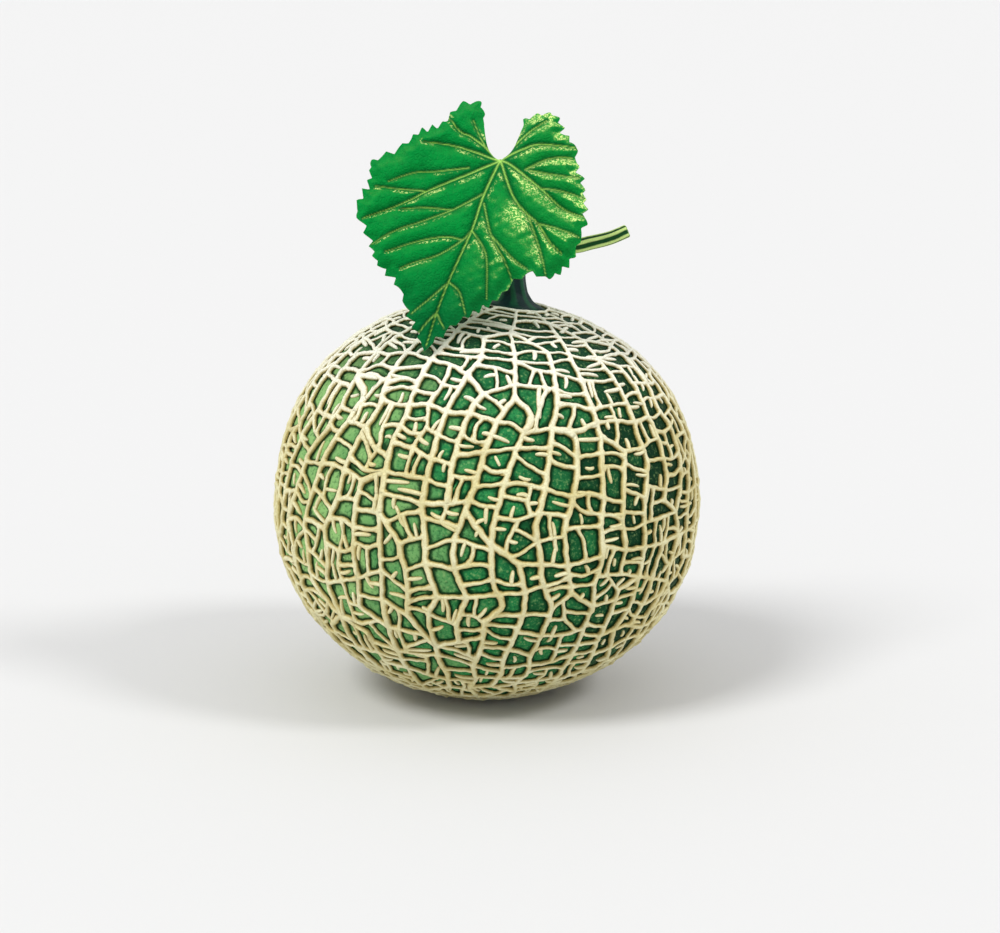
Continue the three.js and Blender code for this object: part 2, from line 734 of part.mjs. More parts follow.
// A closed rod along a curve, with flat ends and a radius that may change on its way and round it.
function rodGeometry(curve, steps, sides, radiusAt) {
  const { normals, binormals } = curve.computeFrenetFrames(steps, false);
  const points = [];
  for (let step = 0; step <= steps; step += 1) {
    for (let side = 0; side < sides; side += 1) {
      const angle = (2 * Math.PI * side) / sides;
      const radius = radiusAt(step / steps, angle);
      points.push(curve.getPointAt(step / steps)
        .addScaledVector(normals[step], radius * Math.cos(angle))
        .addScaledVector(binormals[step], radius * Math.sin(angle)));
    }
  }
  const [start, end] = [curve.getPointAt(0), curve.getPointAt(1)].map((place) => points.push(place) - 1);
  const triangles = [];
  for (let side = 0; side < sides; side += 1) {
    const next = (side + 1) % sides;
    for (let row = 0; row < steps * sides; row += sides) {
      const [a, b, c, d] = [row + side, row + next, row + sides + next, row + sides + side];
      triangles.push(a, b, c, a, c, d);
    }
    triangles.push(start, next, side, end, steps * sides + side, steps * sides + next);
  }
  return geometryFrom(points, triangles);
}

// The stalk's flared foot, which follows the skin, with the ribbed stalk and the vine across it.
function stemGeometry() {
  const across = (FOOT_RADIUS / FRUIT_RADIUS) ** UPPER_FULLNESS;
  const skinAtRim = UPPER_HEIGHT * (1 - across) ** (1 / UPPER_FULLNESS);
  const outline = [
    [0, UPPER_HEIGHT + FOOT_GAP],
    [FOOT_RADIUS, skinAtRim + FOOT_GAP],
    ...FOOT_SWEEP.map(([radius, rise]) => [radius, UPPER_HEIGHT + rise]),
    [0, UPPER_HEIGHT + FOOT_TOP],
  ].map(([radius, height]) => new THREE.Vector2(radius, height));
  const foot = new THREE.LatheGeometry(outline, FOOT_SIDES).rotateX(Math.PI / 2).rotateY(LEAN);
  foot.translate(...CENTRE.toArray());
  const ribbed = (angle) => 1 + RIB_SHARE * Math.cos(VINE_RIBS * angle);
  const stalkRadius = (_, angle) => STALK_RADIUS * ribbed(angle);
  const stalk = rodGeometry(routeCurve(STALK_ROUTE), 6, VINE_SIDES, stalkRadius);
  const vine = rodGeometry(routeCurve(VINE_ROUTE), 18, VINE_SIDES, (share, angle) => (
    lerp(VINE_RADIUS, VINE_CUT_RADIUS, smoothstep(share, 0.4, 1)) * ribbed(angle)));
  return fuse([foot, stalk, vine]);
}

// The leaf's edge from its stalk round to its stalk, smooth or with its teeth.
function leafEdge(toothed) {
  const curve = new THREE.CatmullRomCurve3(LEAF_OUTLINE.map(([u, v]) => vec(u, v, 0)), false, 'centripetal');
  const length = curve.getLength();
  const samples = 2 * Math.round(length / TOOTH_SPACING);
  return Array.from({ length: samples }, (_, i) => {
    const place = curve.getPointAt(i / samples);
    const along = curve.getTangentAt(i / samples);
    const fromStalk = length * Math.min(i / samples, 1 - i / samples);
    const tooth = (i % 2 === 0 ? -0.4 : 0.6) * TOOTH_DEPTH;
    const reach = toothed ? tooth * smoothstep(fromStalk, 0.6 * TOOTHLESS, TOOTHLESS) : 0;
    return new THREE.Vector2(place.x + along.y * reach, place.y - along.x * reach);
  });
}

// How far the blade stands forward of its flat plan: folded on its midrib, arched and waved.
function bladeRise({ x, y }) {
  const tip = LEAF_OUTLINE.find(([, v]) => v === LEAF_LENGTH);
  const aside = (x * tip[1] - y * tip[0]) / Math.hypot(...tip);
  const fold = FOLD_RISE * (Math.hypot(aside, FOLD_ROUND) - FOLD_ROUND);
  const arch = y > 0 ? ARCH_RISE * Math.sin((Math.PI * y) / LEAF_LENGTH) : -LOBE_DROP * y * y;
  const wave = Math.sin(WAVE.across * x + 1) * Math.sin(WAVE.along * y);
  return fold + arch + WAVE.rise * wave * Math.min(1, Math.abs(aside) / WAVE.width);
}

// The toothed blade: rings of spots round its middle, the same on its front and its back, and
// the petiole that carries it, fused to its back.
function leafGeometry() {
  const across = vec(1, 0, 0);
  const down = vec(0, -Math.sin(LEAF_PITCH), -Math.cos(LEAF_PITCH));
  const front = vec(0, -Math.cos(LEAF_PITCH), Math.sin(LEAF_PITCH));
  const [plain, toothed] = [leafEdge(false), leafEdge(true)];
  const inner = LEAF_RINGS.flatMap((share) => plain.map((spot) => LEAF_MIDDLE.clone().lerp(spot, share)));
  const spots = [LEAF_MIDDLE, ...inner, ...toothed];
  const points = [-0.5, 0.5].flatMap((half) => spots.map((spot) => vec(...LEAF_JOINT).add(CENTRE)
    .addScaledVector(across, spot.x)
    .addScaledVector(down, spot.y)
    .addScaledVector(front, bladeRise(spot) + half * LEAF_THICKNESS)));
  const count = toothed.length;
  const rings = LEAF_RINGS.length;
  const flats = [];
  const rim = [];
  for (let i = 0; i < count; i += 1) {
    const next = (i + 1) % count;
    flats.push([0, 1 + next, 1 + i]);
    for (let ring = 0; ring < rings; ring += 1) {
      const [near, far] = [1 + ring * count, 1 + (ring + 1) * count];
      flats.push([near + i, near + next, far + next], [near + i, far + next, far + i]);
    }
    const [back, backNext] = [1 + rings * count + i, 1 + rings * count + next];
    rim.push([backNext, back, back + spots.length], [backNext, back + spots.length, backNext + spots.length]);
  }
  const frontFace = flats.map((triangle) => triangle.map((i) => i + spots.length));
  const backFace = flats.map((triangle) => triangle.toReversed());
  const blade = geometryFrom(points, [...frontFace, ...backFace, ...rim].flat());
  const petiole = rodGeometry(routeCurve(PETIOLE_ROUTE), 12, PETIOLE_SIDES, (share) => (
    lerp(PETIOLE_RADIUS, PETIOLE_TIP_RADIUS, share)));
  return fuse([blade, petiole]);
}

const melon = new THREE.Group();

function addPiece(name, geometry, color, roughness) {
  const material = new THREE.MeshStandardMaterial({ color, roughness, metalness: 0 });
  const mesh = new THREE.Mesh(geometry, material);
  mesh.name = name;
  melon.add(mesh);
}

addPiece('fruit', fruitGeometry(), 0x56855a, 0.55);
addPiece('net', netGeometry(), 0xe2dbb0, 0.85);
addPiece('stem', stemGeometry(), 0x4d7a3c, 0.6);
addPiece('leaf', leafGeometry(), 0x1c9a4a, 0.5);

export default melon;
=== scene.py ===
# %% [markdown]
# This lesson dresses a netted muskmelon: a round fruit with a raised cork net, a green stalk
# with a piece of ribbed vine, and one toothed leaf. A plain solid of each piece is packed
# already. It fixes where everything is and how large, and each piece made here takes the
# place of one of those solids or comes on top of them. We start by loading them.

# %% Load the plain solids
import math

import bpy
import numpy as np
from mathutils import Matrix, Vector
from mathutils.geometry import delaunay_2d_cdt


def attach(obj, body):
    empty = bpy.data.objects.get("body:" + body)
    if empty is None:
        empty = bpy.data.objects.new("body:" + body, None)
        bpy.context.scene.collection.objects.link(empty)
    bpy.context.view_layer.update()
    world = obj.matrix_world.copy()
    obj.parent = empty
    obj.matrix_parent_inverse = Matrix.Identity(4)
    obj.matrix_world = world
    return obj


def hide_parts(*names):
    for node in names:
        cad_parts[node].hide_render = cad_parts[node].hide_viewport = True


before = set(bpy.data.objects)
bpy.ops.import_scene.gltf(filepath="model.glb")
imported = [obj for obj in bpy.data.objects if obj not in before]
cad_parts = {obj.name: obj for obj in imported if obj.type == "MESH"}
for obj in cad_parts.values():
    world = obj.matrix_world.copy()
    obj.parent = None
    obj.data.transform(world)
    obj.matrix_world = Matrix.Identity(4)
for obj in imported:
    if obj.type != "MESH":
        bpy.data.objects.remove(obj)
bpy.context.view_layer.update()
print("plain solids:", sorted(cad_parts))

# %% [markdown]
# Blender counts in metres, but a melon is easier to think about in millimetres. So every
# size below is in millimetres, seen from the middle of the fruit, and one helper turns a list
# of such places into a mesh. It also stores numbers on the corners of the mesh, such as how
# near a ridge a place is, for the materials to read.

# %% A mesh from places in millimetres
MM = 0.001
REST_DEPTH = 0.54
LOWER_HEIGHT = 65.5
MIDDLE = np.array([0.0, 0.0, LOWER_HEIGHT - REST_DEPTH])


def add_object(name, data):
    """A new object for a mesh, a lamp or a camera, in the scene."""
    added = bpy.data.objects.new(name, data)
    bpy.context.scene.collection.objects.link(added)
    return added


def make_mesh(name, places, faces, marks=None, sharp_deg=None):
    """One smooth object. marks maps an attribute's name to one number for each place."""
    mesh = bpy.data.meshes.new(name)
    mesh.from_pydata(((places + MIDDLE) * MM).tolist(), [], faces)
    for mark, values in (marks or {}).items():
        layer = mesh.attributes.new(mark, "FLOAT", "POINT")
        layer.data.foreach_set("value", np.asarray(values, dtype=np.float32))
    mesh.update()
    mesh.shade_smooth()
    if sharp_deg:
        mesh.set_sharp_from_angle(angle=math.radians(sharp_deg))
    print(name, "has", sum(len(face) - 2 for face in faces), "triangles")
    return add_object(name, mesh)


print("the fruit's middle is", MIDDLE[2], "mm above the floor")

# %% [markdown]
# The real fruit isn't a ball. It is fuller above its middle than below, and its stalk end
# leans to one side. Both are plain formulas: the distance from the middle to the skin at an
# angle off the stalk, and a turn that fades out towards the blossom end, on which it rests.
# A little slow noise on top keeps the outline from looking turned on a lathe.

# %% The shape of the skin
FRUIT_RADIUS = 73.4
UPPER_HEIGHT = 72.5
UPPER_FULLNESS = 2.2
LOWER_FULLNESS = 2.0
LEAN = math.radians(7.6)
LEAN_ENDS_AT = -0.9
UNEVENNESS = 0.45
UNEVEN_SIZE = 55
UNEVEN_SEED = 3
RIPPLE_WAVES = 7
SLOPE_STEP = 0.001
TINY = 1e-9


def skin_radius(polar):
    upper = np.cos(polar) > 0
    height = np.where(upper, UPPER_HEIGHT, LOWER_HEIGHT)
    power = np.where(upper, UPPER_FULLNESS, LOWER_FULLNESS)
    across = np.abs(np.sin(polar)) / FRUIT_RADIUS
    along = np.abs(np.cos(polar)) / height
    return (across ** power + along ** power) ** (-1 / power)


def smoothstep(value, low, high):
    share = np.clip((value - low) / (high - low), 0, 1)
    return share * share * (3 - 2 * share)


def unit_rows(vectors):
    return vectors / np.maximum(np.linalg.norm(vectors, axis=1), TINY)[:, None]


def leaned(places, turn):
    """Places turned about the Y axis, from the stalk end towards +X."""
    x, y, z = places.T
    return np.stack([x * np.cos(turn) + z * np.sin(turn), y, z * np.cos(turn) - x * np.sin(turn)], axis=1)


def ripple(places, size, seed):
    """Smooth noise from about -1 to 1: a few waves of one size that run in random directions."""
    dice = np.random.default_rng(seed)
    waves = dice.normal(size=(RIPPLE_WAVES, 3))
    paces = dice.uniform(0.7, 1.4, RIPPLE_WAVES) / np.linalg.norm(waves, axis=1)
    waves *= (paces * 2 * math.pi / size)[:, None]
    starts = dice.uniform(0, 2 * math.pi, RIPPLE_WAVES)
    return np.sin(places @ waves.T + starts).sum(axis=1) / (RIPPLE_WAVES / 2)


def above_skin(directions, heights):
    """Places at some height above the skin, in directions from the fruit's middle."""
    x, y, z = directions.T
    unevenness = UNEVENNESS * ripple(directions * FRUIT_RADIUS, UNEVEN_SIZE, UNEVEN_SEED)
    heights = heights + unevenness * (1 - z ** 4)
    polar = np.arccos(np.clip(z, -1, 1))
    radius = skin_radius(polar)
    rise = skin_radius(polar + SLOPE_STEP) - skin_radius(polar - SLOPE_STEP)
    slope = rise / (2 * SLOPE_STEP * radius)
    downhill = unit_rows(np.stack([x * z, y * z, z * z - 1], axis=1))
    normal = unit_rows(directions - downhill * slope[:, None])
    places = directions * radius[:, None] + normal * heights[:, None]
    level = places[:, 2] / np.linalg.norm(places, axis=1)
    places = leaned(places, LEAN * smoothstep(level, LEAN_ENDS_AT, 1))
    places[:, 2] = np.maximum(places[:, 2], REST_DEPTH - LOWER_HEIGHT)
    return places


print("skin at the stalk, the middle and the rest:", skin_radius(np.array([0, math.pi / 2, math.pi])))

# %% [markdown]
# A melon's net is scar tissue. The rind stops stretching before the fruit does, so it cracks,
# mostly along lines from stalk to blossom end, then straight across between them, and cork
# fills the cracks. We copy that growth on a round ball: long wavy lines first, then cracks
# across the widest cells, again and again, each meeting its neighbours squarely. The plain
# net was grown by the same rule with the same seed, so its ridges lie where ours do.
#
# A cell is a loop of point numbers, counter-clockwise from outside. For each directed ridge
# we note the cell on its left, so a split changes only a few entries.

# %% Points on a ball, and a seeded die
MAIN, RUNG, FINE = 0, 1, 2


def seeded_die(seed):
    """Numbers from 0 to 1, the same on every run."""
    mask = 0xFFFFFFFF
    state = seed & mask
    while True:
        state = (state + 0x6D2B79F5) & mask
        t = state
        t = ((t ^ (t >> 15)) * (t | 1)) & mask
        t ^= (t + (((t ^ (t >> 7)) * (t | 61)) & mask)) & mask
        yield ((t ^ (t >> 14)) & mask) / (mask + 1)


def unit(v):
    length = math.sqrt(v[0] * v[0] + v[1] * v[1] + v[2] * v[2])
    return (v[0] / length, v[1] / length, v[2] / length)


def cross(a, b):
    return (a[1] * b[2] - a[2] * b[1], a[2] * b[0] - a[0] * b[2], a[0] * b[1] - a[1] * b[0])


def dot(a, b):
    return a[0] * b[0] + a[1] * b[1] + a[2] * b[2]


def blend(a, b, share):
    return tuple(p + (q - p) * share for p, q in zip(a, b))


def span(a, b):
    """The distance between two directions on a ball of the fruit's size, in millimetres."""
    return FRUIT_RADIUS * math.dist(a, b)


def direction(polar, bearing):
    return (math.sin(polar) * math.cos(bearing), math.sin(polar) * math.sin(bearing), math.cos(polar))


def clamp(value, low, high):
    return max(low, min(high, value))


def kind_key(a, b):
    """A ridge's key in the record of kinds, the same from both of its ends."""
    return (min(a, b), max(a, b))


one_degree = span(direction(0, 0), direction(math.radians(1), 0))
print("one degree on the ball is", round(one_degree, 2), "mm")

# %% [markdown]
# Cracks are judged on a flat picture of the cell, laid out in millimetres. A good crack is
# short, leaves two halves of like size and makes no sharp corner. These helpers find where a
# straight line leaves the cell, move its ends to a corner that is close, and score it.

# %% Judging a crack on a flat cell
SHARPEST = 0.6
SQUARE_WEIGHT = 0.2
SQUARE_ENOUGH = 1.4
LENGTH_WEIGHT = 0.45
THINNEST_SHARE = 0.22
TOUCHING = 1e-6


def turn_of(a, b):
    return a[0] * b[1] - a[1] * b[0]


def minus(a, b):
    return (a[0] - b[0], a[1] - b[1])


def ring_area(flat):
    return sum(turn_of(flat[i - 1], flat[i]) for i in range(len(flat))) / 2


def strike(flat, side, share, ahead):
    """Where a line from a place on one side, going inwards, meets the far side."""
    start = blend(flat[side - 1], flat[side], share)
    hit = None
    for other, to in enumerate(flat):
        back = flat[other - 1]
        along = minus(to, back)
        turn = turn_of(ahead, along)
        if other != side and abs(turn) > TINY:
            gap = minus(back, start)
            distance = turn_of(gap, along) / turn
            place = turn_of(gap, ahead) / turn
            if distance > TOUCHING and 0 <= place <= 1 and (hit is None or distance < hit[2]):
                hit = (other, place, distance)
    return hit and hit[:2]


def snapped(end, sides, snap):
    """The end of a crack, moved to a corner of the cell where one is close."""
    side, share = end
    if share * sides[side] < snap and share <= 0.5:
        return (side, 0)
    return (side, 1 if (1 - share) * sides[side] < snap else share)


def half_cell(flat, ends, spots):
    """The part of a cell from one end of a crack round to the other."""
    start, stop = (side + share for side, share in ends)
    way = (stop - start + len(flat)) % len(flat)
    corners = []
    place = math.floor(start) + 1
    while place < start + way - TINY:
        corners.append(flat[(place - 1) % len(flat)])
        place += 1
    return [spots[0], *corners, spots[1]]


def corner_angle(loop, i):
    before = minus(loop[i - 1], loop[i])
    after = minus(loop[(i + 1) % len(loop)], loop[i])
    return abs(math.atan2(turn_of(before, after), before[0] * after[0] + before[1] * after[1]))


def crack_score(flat, ends, snap, least_area):
    """How good a crack is: better where it is short and square, and halves the cell evenly."""
    spots = [blend(flat[side - 1], flat[side], share) for side, share in ends]
    halves = [half_cell(flat, ends, spots), half_cell(flat, ends[::-1], spots[::-1])]
    length = math.dist(*spots)
    areas = [ring_area(half) for half in halves]
    if length < 2 * snap or min(len(half) for half in halves) < 3 or min(areas) <= least_area:
        return -math.inf
    sharpest = min(corner_angle(half, i) for half in halves for i in (0, len(half) - 1))
    if sharpest < SHARPEST:
        return -math.inf
    share = min(areas) / sum(areas)
    squareness = SQUARE_WEIGHT * min(sharpest, SQUARE_ENOUGH)
    score = share + squareness - LENGTH_WEIGHT * length / math.sqrt(sum(areas))
    return score - 1 if share < THINNEST_SHARE else score


print("a square of 10 mm measures", ring_area([(0, 0), (10, 0), (10, 10), (0, 10)]), "square mm")

# %% [markdown]
# The plan itself is a small class. It can put a point on a ridge, split a cell along a path,
# grow a wavy ridge down the middle of a column, cut a long cell across, and crack a cell the
# best way it finds. Every choice draws from the one seeded die, always in the same order.

# %% The plan of the net
NET_SEED = 7
NET_TOP_ANGLE = 0.175
NET_BOTTOM_ANGLE = 0.215
FIRST_LINES = 6
LINE_STEPS = 20
RIDGE_STEP = 0.135
RIDGE_LEAD = 0.075
COLUMN_STEP = 0.01
RAGGED_START = 0.06
SHORTEST_RUN = 0.15
LEAST_LEFTOVER = 0.2
STEP_PLAY = 0.2
WANDER_KEPT = 0.6
WANDER_ADDED = 0.7
SWAY = 0.11
BEND_LENGTH = 11
CRACK_BEND = 0.14
SNAP = 3
ATTEMPTS = 12
EDGE_ON = 0.15


class NetPlan:
    """Ridges and cells on a ball. It starts empty, and every method keeps it one whole net."""

    def __init__(self, seed):
        self.points = []
        self.cells = []
        self.owner = {}
        self.kinds = {}
        self.bend_length = BEND_LENGTH
        self.least_area = 0
        self.die = seeded_die(seed)

    def random(self):
        return next(self.die)

    def between(self, low, high):
        return low + (high - low) * self.random()

    def add_point(self, place):
        self.points.append(unit(place))
        return len(self.points) - 1

    def add_cell(self, loop):
        self.cells.append(loop)
        self.claim(len(self.cells) - 1)

    def claim(self, cell):
        """Notes this cell as the one on the left of each of its ridges."""
        loop = self.cells[cell]
        for i, point in enumerate(loop):
            self.owner[loop[i - 1], point] = cell

    def mark(self, path, kind):
        """Notes the kind of each ridge along a path."""
        for a, b in zip(path, path[1:]):
            self.kinds[kind_key(a, b)] = kind

    def insert(self, a, b, share):
        """Puts a new point on the ridge from a to b, in the cells on both of its sides."""
        point = self.add_point(blend(self.points[a], self.points[b], share))
        self.mark([a, point, b], self.kinds.pop(kind_key(a, b)))
        for start, stop in ((a, b), (b, a)):
            cell = self.owner.pop((start, stop))
            loop = self.cells[cell]
            loop.insert(loop.index(stop), point)
            self.owner[start, point] = self.owner[point, stop] = cell
        return point

    def split(self, cell, path, kind):
        """Splits a cell by a path from one of its points to another."""
        loop = self.cells[cell]
        start = loop.index(path[0])
        loop = loop[start:] + loop[:start]
        end = loop.index(path[-1])
        inside = path[1:-1]
        self.mark(path, kind)
        self.cells[cell] = loop[:end + 1] + inside[::-1]
        self.claim(cell)
        self.add_cell(loop[end:] + [path[0]] + inside)

    def flatten(self, loop):
        """A cell laid out flat, in millimetres, with the middle and axes of that plane."""
        centre = (0, 0, 0)
        for i, point in enumerate(loop):
            a, b = self.points[loop[i - 1]], self.points[point]
            length = span(a, b)
            centre = tuple(c + (p + q) * length for c, p, q in zip(centre, a, b))
        centre = unit(centre)
        east = unit(cross((0, 0, 1), centre))
        north = cross(centre, east)
        flat = []
        for point in loop:
            place = self.points[point]
            scale = FRUIT_RADIUS / max(EDGE_ON, dot(place, centre))
            flat.append((dot(place, east) * scale, dot(place, north) * scale))
        return flat, (centre, east, north)

    def polar_of(self, point):
        return math.acos(clamp(self.points[point][2], -1, 1))

    def bearing_at(self, line, polar):
        """The bearing of a line that runs from stalk to blossom end, where it crosses an angle."""
        bearing = math.atan2(self.points[line[0]][1], self.points[line[0]][0])
        for i in range(1, len(line)):
            above, below = line[i - 1], line[i]
            after = math.atan2(self.points[below][1], self.points[below][0])
            after += 2 * math.pi * math.floor((bearing - after) / (2 * math.pi) + 0.5)
            if polar <= self.polar_of(below) or i == len(line) - 1:
                share = (polar - self.polar_of(above)) / (self.polar_of(below) - self.polar_of(above))
                return bearing + (after - bearing) * clamp(share, 0, 1)
            bearing = after
        return bearing

    def nearest(self, line, polar):
        return min(line[1:-1], key=lambda point: abs(self.polar_of(point) - polar))

    def cell_beside(self, line, point, on_left):
        after = line[line.index(point) + 1]
        return self.owner.get((point, after) if on_left else (after, point))

    def add_ridges(self, left, right, need, run, gap):
        """Grows ridges down the middle of the column between two lines, where it is wide."""
        def column_at(polar):
            turn = self.bearing_at(right, polar) - self.bearing_at(left, polar)
            return turn - 2 * math.pi * math.floor(turn / (2 * math.pi))

        polar = max(self.polar_of(line[1]) for line in (left, right))
        stop = min(self.polar_of(line[-2]) for line in (left, right))
        wide = []
        while polar < stop:
            if column_at(polar) * math.sin(polar) * FRUIT_RADIUS > need:
                wide.append(polar)
            polar += COLUMN_STEP
        lines = []
        if not wide:
            return lines
        start = wide[0] + self.between(0, RAGGED_START)
        last = wide[-1] - self.between(0, RAGGED_START)
        while start < last - SHORTEST_RUN:
            end = min(last, start + self.between(*run))
            end = last if last - end < LEAST_LEFTOVER else end
            upper, lower = (left if draw < 0.5 else right for draw in (self.random(), self.random()))
            top = self.nearest(upper, start - RIDGE_LEAD)
            foot = self.nearest(lower, end + RIDGE_LEAD)
            path = [top]
            steps = max(1, math.floor((end - start) / RIDGE_STEP + 0.5))
            wander = self.between(-1, 1)
            for i in range(steps + 1):
                jitter = self.between(-STEP_PLAY, STEP_PLAY) * RIDGE_STEP if 0 < i < steps else 0
                polar = start + (end - start) * i / steps + jitter
                wander = WANDER_KEPT * wander + self.between(-WANDER_ADDED, WANDER_ADDED)
                bearing = self.bearing_at(left, polar) + column_at(polar) * (0.5 + SWAY * wander)
                path.append(self.add_point(direction(polar, bearing)))
            path.append(foot)
            cell = self.cell_beside(upper, top, upper is left)
            if top != foot and cell == self.cell_beside(lower, foot, lower is left):
                self.split(cell, path, MAIN)
                lines.append(path)
            start = end + self.between(*gap)
        return lines

    def settle(self, start, stop, share, snap):
        """The end of a crack on a ridge: a point that is there already, or else a new one."""
        length = span(self.points[start], self.points[stop])
        if share * length < snap and share <= 0.5:
            return start
        return stop if (1 - share) * length < snap else self.insert(start, stop, share)

    def bend(self, a, b):
        """One point in the middle of a long crack, a little off its straight line."""
        start, stop = self.points[a], self.points[b]
        if span(start, stop) < self.bend_length:
            return []
        aside = self.between(-CRACK_BEND, CRACK_BEND)
        middle = unit(tuple(p + q for p, q in zip(start, stop)))
        return [self.add_point(tuple(m + c * aside for m, c in zip(middle, cross(start, stop))))]

    def leaves_enough(self, loop, ends, snap):
        return crack_score(self.flatten(loop)[0], ends, snap, self.least_area) > -math.inf

    def cut_across(self, cell, longest, kind, snap):
        """Cuts a cell that is too long from top to bottom straight across, near its middle."""
        loop = self.cells[cell]
        polars = [self.polar_of(point) for point in loop]
        low, high = min(polars), max(polars)
        if high - low < longest:
            return False
        for _ in range(ATTEMPTS):
            level = low + (high - low) * self.between(0.35, 0.65)
            crossings = [i for i in range(len(loop)) if (polars[i - 1] < level) != (polars[i] < level)]
            ends = [(i, (level - polars[i - 1]) / (polars[i] - polars[i - 1])) for i in crossings]
            if len(ends) == 2 and (not self.least_area or self.leaves_enough(loop, ends, snap)):
                hits = [(loop[side - 1], loop[side], share) for side, share in ends]
                a, b = (self.settle(*hit, snap) for hit in hits)
                if a != b and (a, b) not in self.owner and (b, a) not in self.owner:
                    self.split(cell, [a, *self.bend(a, b), b], kind)
                    return True
        return False

    def crack(self, cell, kind, snap, tilt):
        """Cracks a cell across. Of several straight tries the best one stays."""
        loop = self.cells[cell]
        flat, _ = self.flatten(loop)
        sides = [math.dist(flat[i - 1], flat[i]) for i in range(len(flat))]
        best, best_score = None, -math.inf
        for _ in range(ATTEMPTS):
            along = self.between(0, sum(sides))
            side = 0
            while along > sides[side] and side < len(flat) - 1:
                along -= sides[side]
                side += 1
            turn = math.pi / 2 + self.between(-tilt, tilt)
            share = clamp(along / sides[side], 0, 1)
            dx, dy = (step / sides[side] for step in minus(flat[side], flat[side - 1]))
            ahead = (dx * math.cos(turn) - dy * math.sin(turn), dx * math.sin(turn) + dy * math.cos(turn))
            end = strike(flat, side, share, ahead)
            if end:
                ends = [snapped((side, share), sides, snap), snapped(end, sides, snap)]
                score = crack_score(flat, ends, snap, self.least_area)
                if score > best_score:
                    best, best_score = ends, score
        if best is None:
            return False
        hits = [(loop[side - 1], loop[side], share) for side, share in best]
        a, b = (self.settle(*hit, TOUCHING) for hit in hits)
        self.split(cell, [a, *self.bend(a, b), b], kind)
        return True


# %% [markdown]
# Growing takes three passes. The first two are those of the plain net: the lines, then the
# cracks that leave cells about a finger wide. The third is ours alone. It lays narrow bands
# round the stalk, and goes on cracking with thinner ridges, until the cells are as small as
# on the real rind. The first two cells are the round ones at the stalk and at the blossom
# end, and they never crack.

# %% Grow the net
END_CELLS = 2
RING_PLAY = 0.012
TOP_SWAY, BOTTOM_SWAY = 0.15, 0.1
LINE_PLAY = 0.02
LINE_WANDER = 0.04
LINE_WANDER_KEPT = 0.7
LINE_WANDER_ADDED = 0.6
COLUMN_WIDTHS = (15, 18.5)
BROKEN_COLUMN = 16
WHOLE = (9, 9)
BROKEN_RUN = (0.35, 1.0)
BROKEN_GAP = (0.12, 0.24)
LONGEST_CELL = 0.42
COARSE_AREA = 200
COARSE_SPREAD = (0.85, 1.25)
COARSE_TILT = 0.4
FINE_AREA = 76
FINE_SPREAD = (0.7, 1.5)
FINE_TILT = 0.35
FINE_SNAP = 2.0
FINE_BEND_LENGTH = 6.5
FINE_LEAST_AREA = 15
BAND_ANGLE = 0.62
BAND_HEIGHT = 0.1
BAND_SPREAD = (0.8, 1.3)
BAND_AREA = 56


def interleave(net, lines, need, run, gap):
    """The lines in order round the fruit, with the new ones that grew between them."""
    result = []
    for i, left in enumerate(lines):
        grown = net.add_ridges(left, lines[(i + 1) % len(lines)], need, run, gap)
        result += [left, *grown] if len(grown) == 1 else [left]
    return result


def split_all(net, splits):
    """Tries every cell, and again both halves of each cell that splits."""
    waiting = list(range(END_CELLS, len(net.cells)))
    while waiting:
        cell = waiting.pop()
        if splits(cell):
            waiting += [cell, len(net.cells) - 1]


def grow_lines(net):
    """The first wavy lines, from a ring of points round the stalk to one round the blossom end."""
    def ring(count, polar, sway):
        points = []
        for i in range(count):
            level = polar + net.between(-RING_PLAY, RING_PLAY)
            bearing = 2 * math.pi * (i + net.between(-sway, sway)) / count
            points.append(net.add_point(direction(level, bearing)))
        return points

    top = ring(2 * FIRST_LINES, NET_TOP_ANGLE, TOP_SWAY)
    bottom = ring(FIRST_LINES, math.pi - NET_BOTTOM_ANGLE, BOTTOM_SWAY)
    down = math.pi - NET_BOTTOM_ANGLE - NET_TOP_ANGLE
    lines = []
    for k in range(FIRST_LINES):
        line = [top[2 * k]]
        wander = 0
        for i in range(1, LINE_STEPS):
            polar = NET_TOP_ANGLE + down * i / LINE_STEPS + net.between(-LINE_PLAY, LINE_PLAY)
            wander = LINE_WANDER_KEPT * wander + net.between(-LINE_WANDER_ADDED, LINE_WANDER_ADDED)
            bearing = 2 * math.pi * k / FIRST_LINES + LINE_WANDER * wander
            line.append(net.add_point(direction(polar, bearing)))
        lines.append([*line, bottom[k]])
    net.add_cell(list(top))
    net.add_cell(bottom[::-1])
    for k, left in enumerate(lines):
        right = lines[(k + 1) % FIRST_LINES]
        over = [top[i % len(top)] for i in (2 * k + 2, 2 * k + 1)]
        net.add_cell([bottom[k], *right[:0:-1], *over, *left[:-1]])
    for path in (*lines, [*top, top[0]], [*bottom, bottom[0]]):
        net.mark(path, MAIN)
    return lines


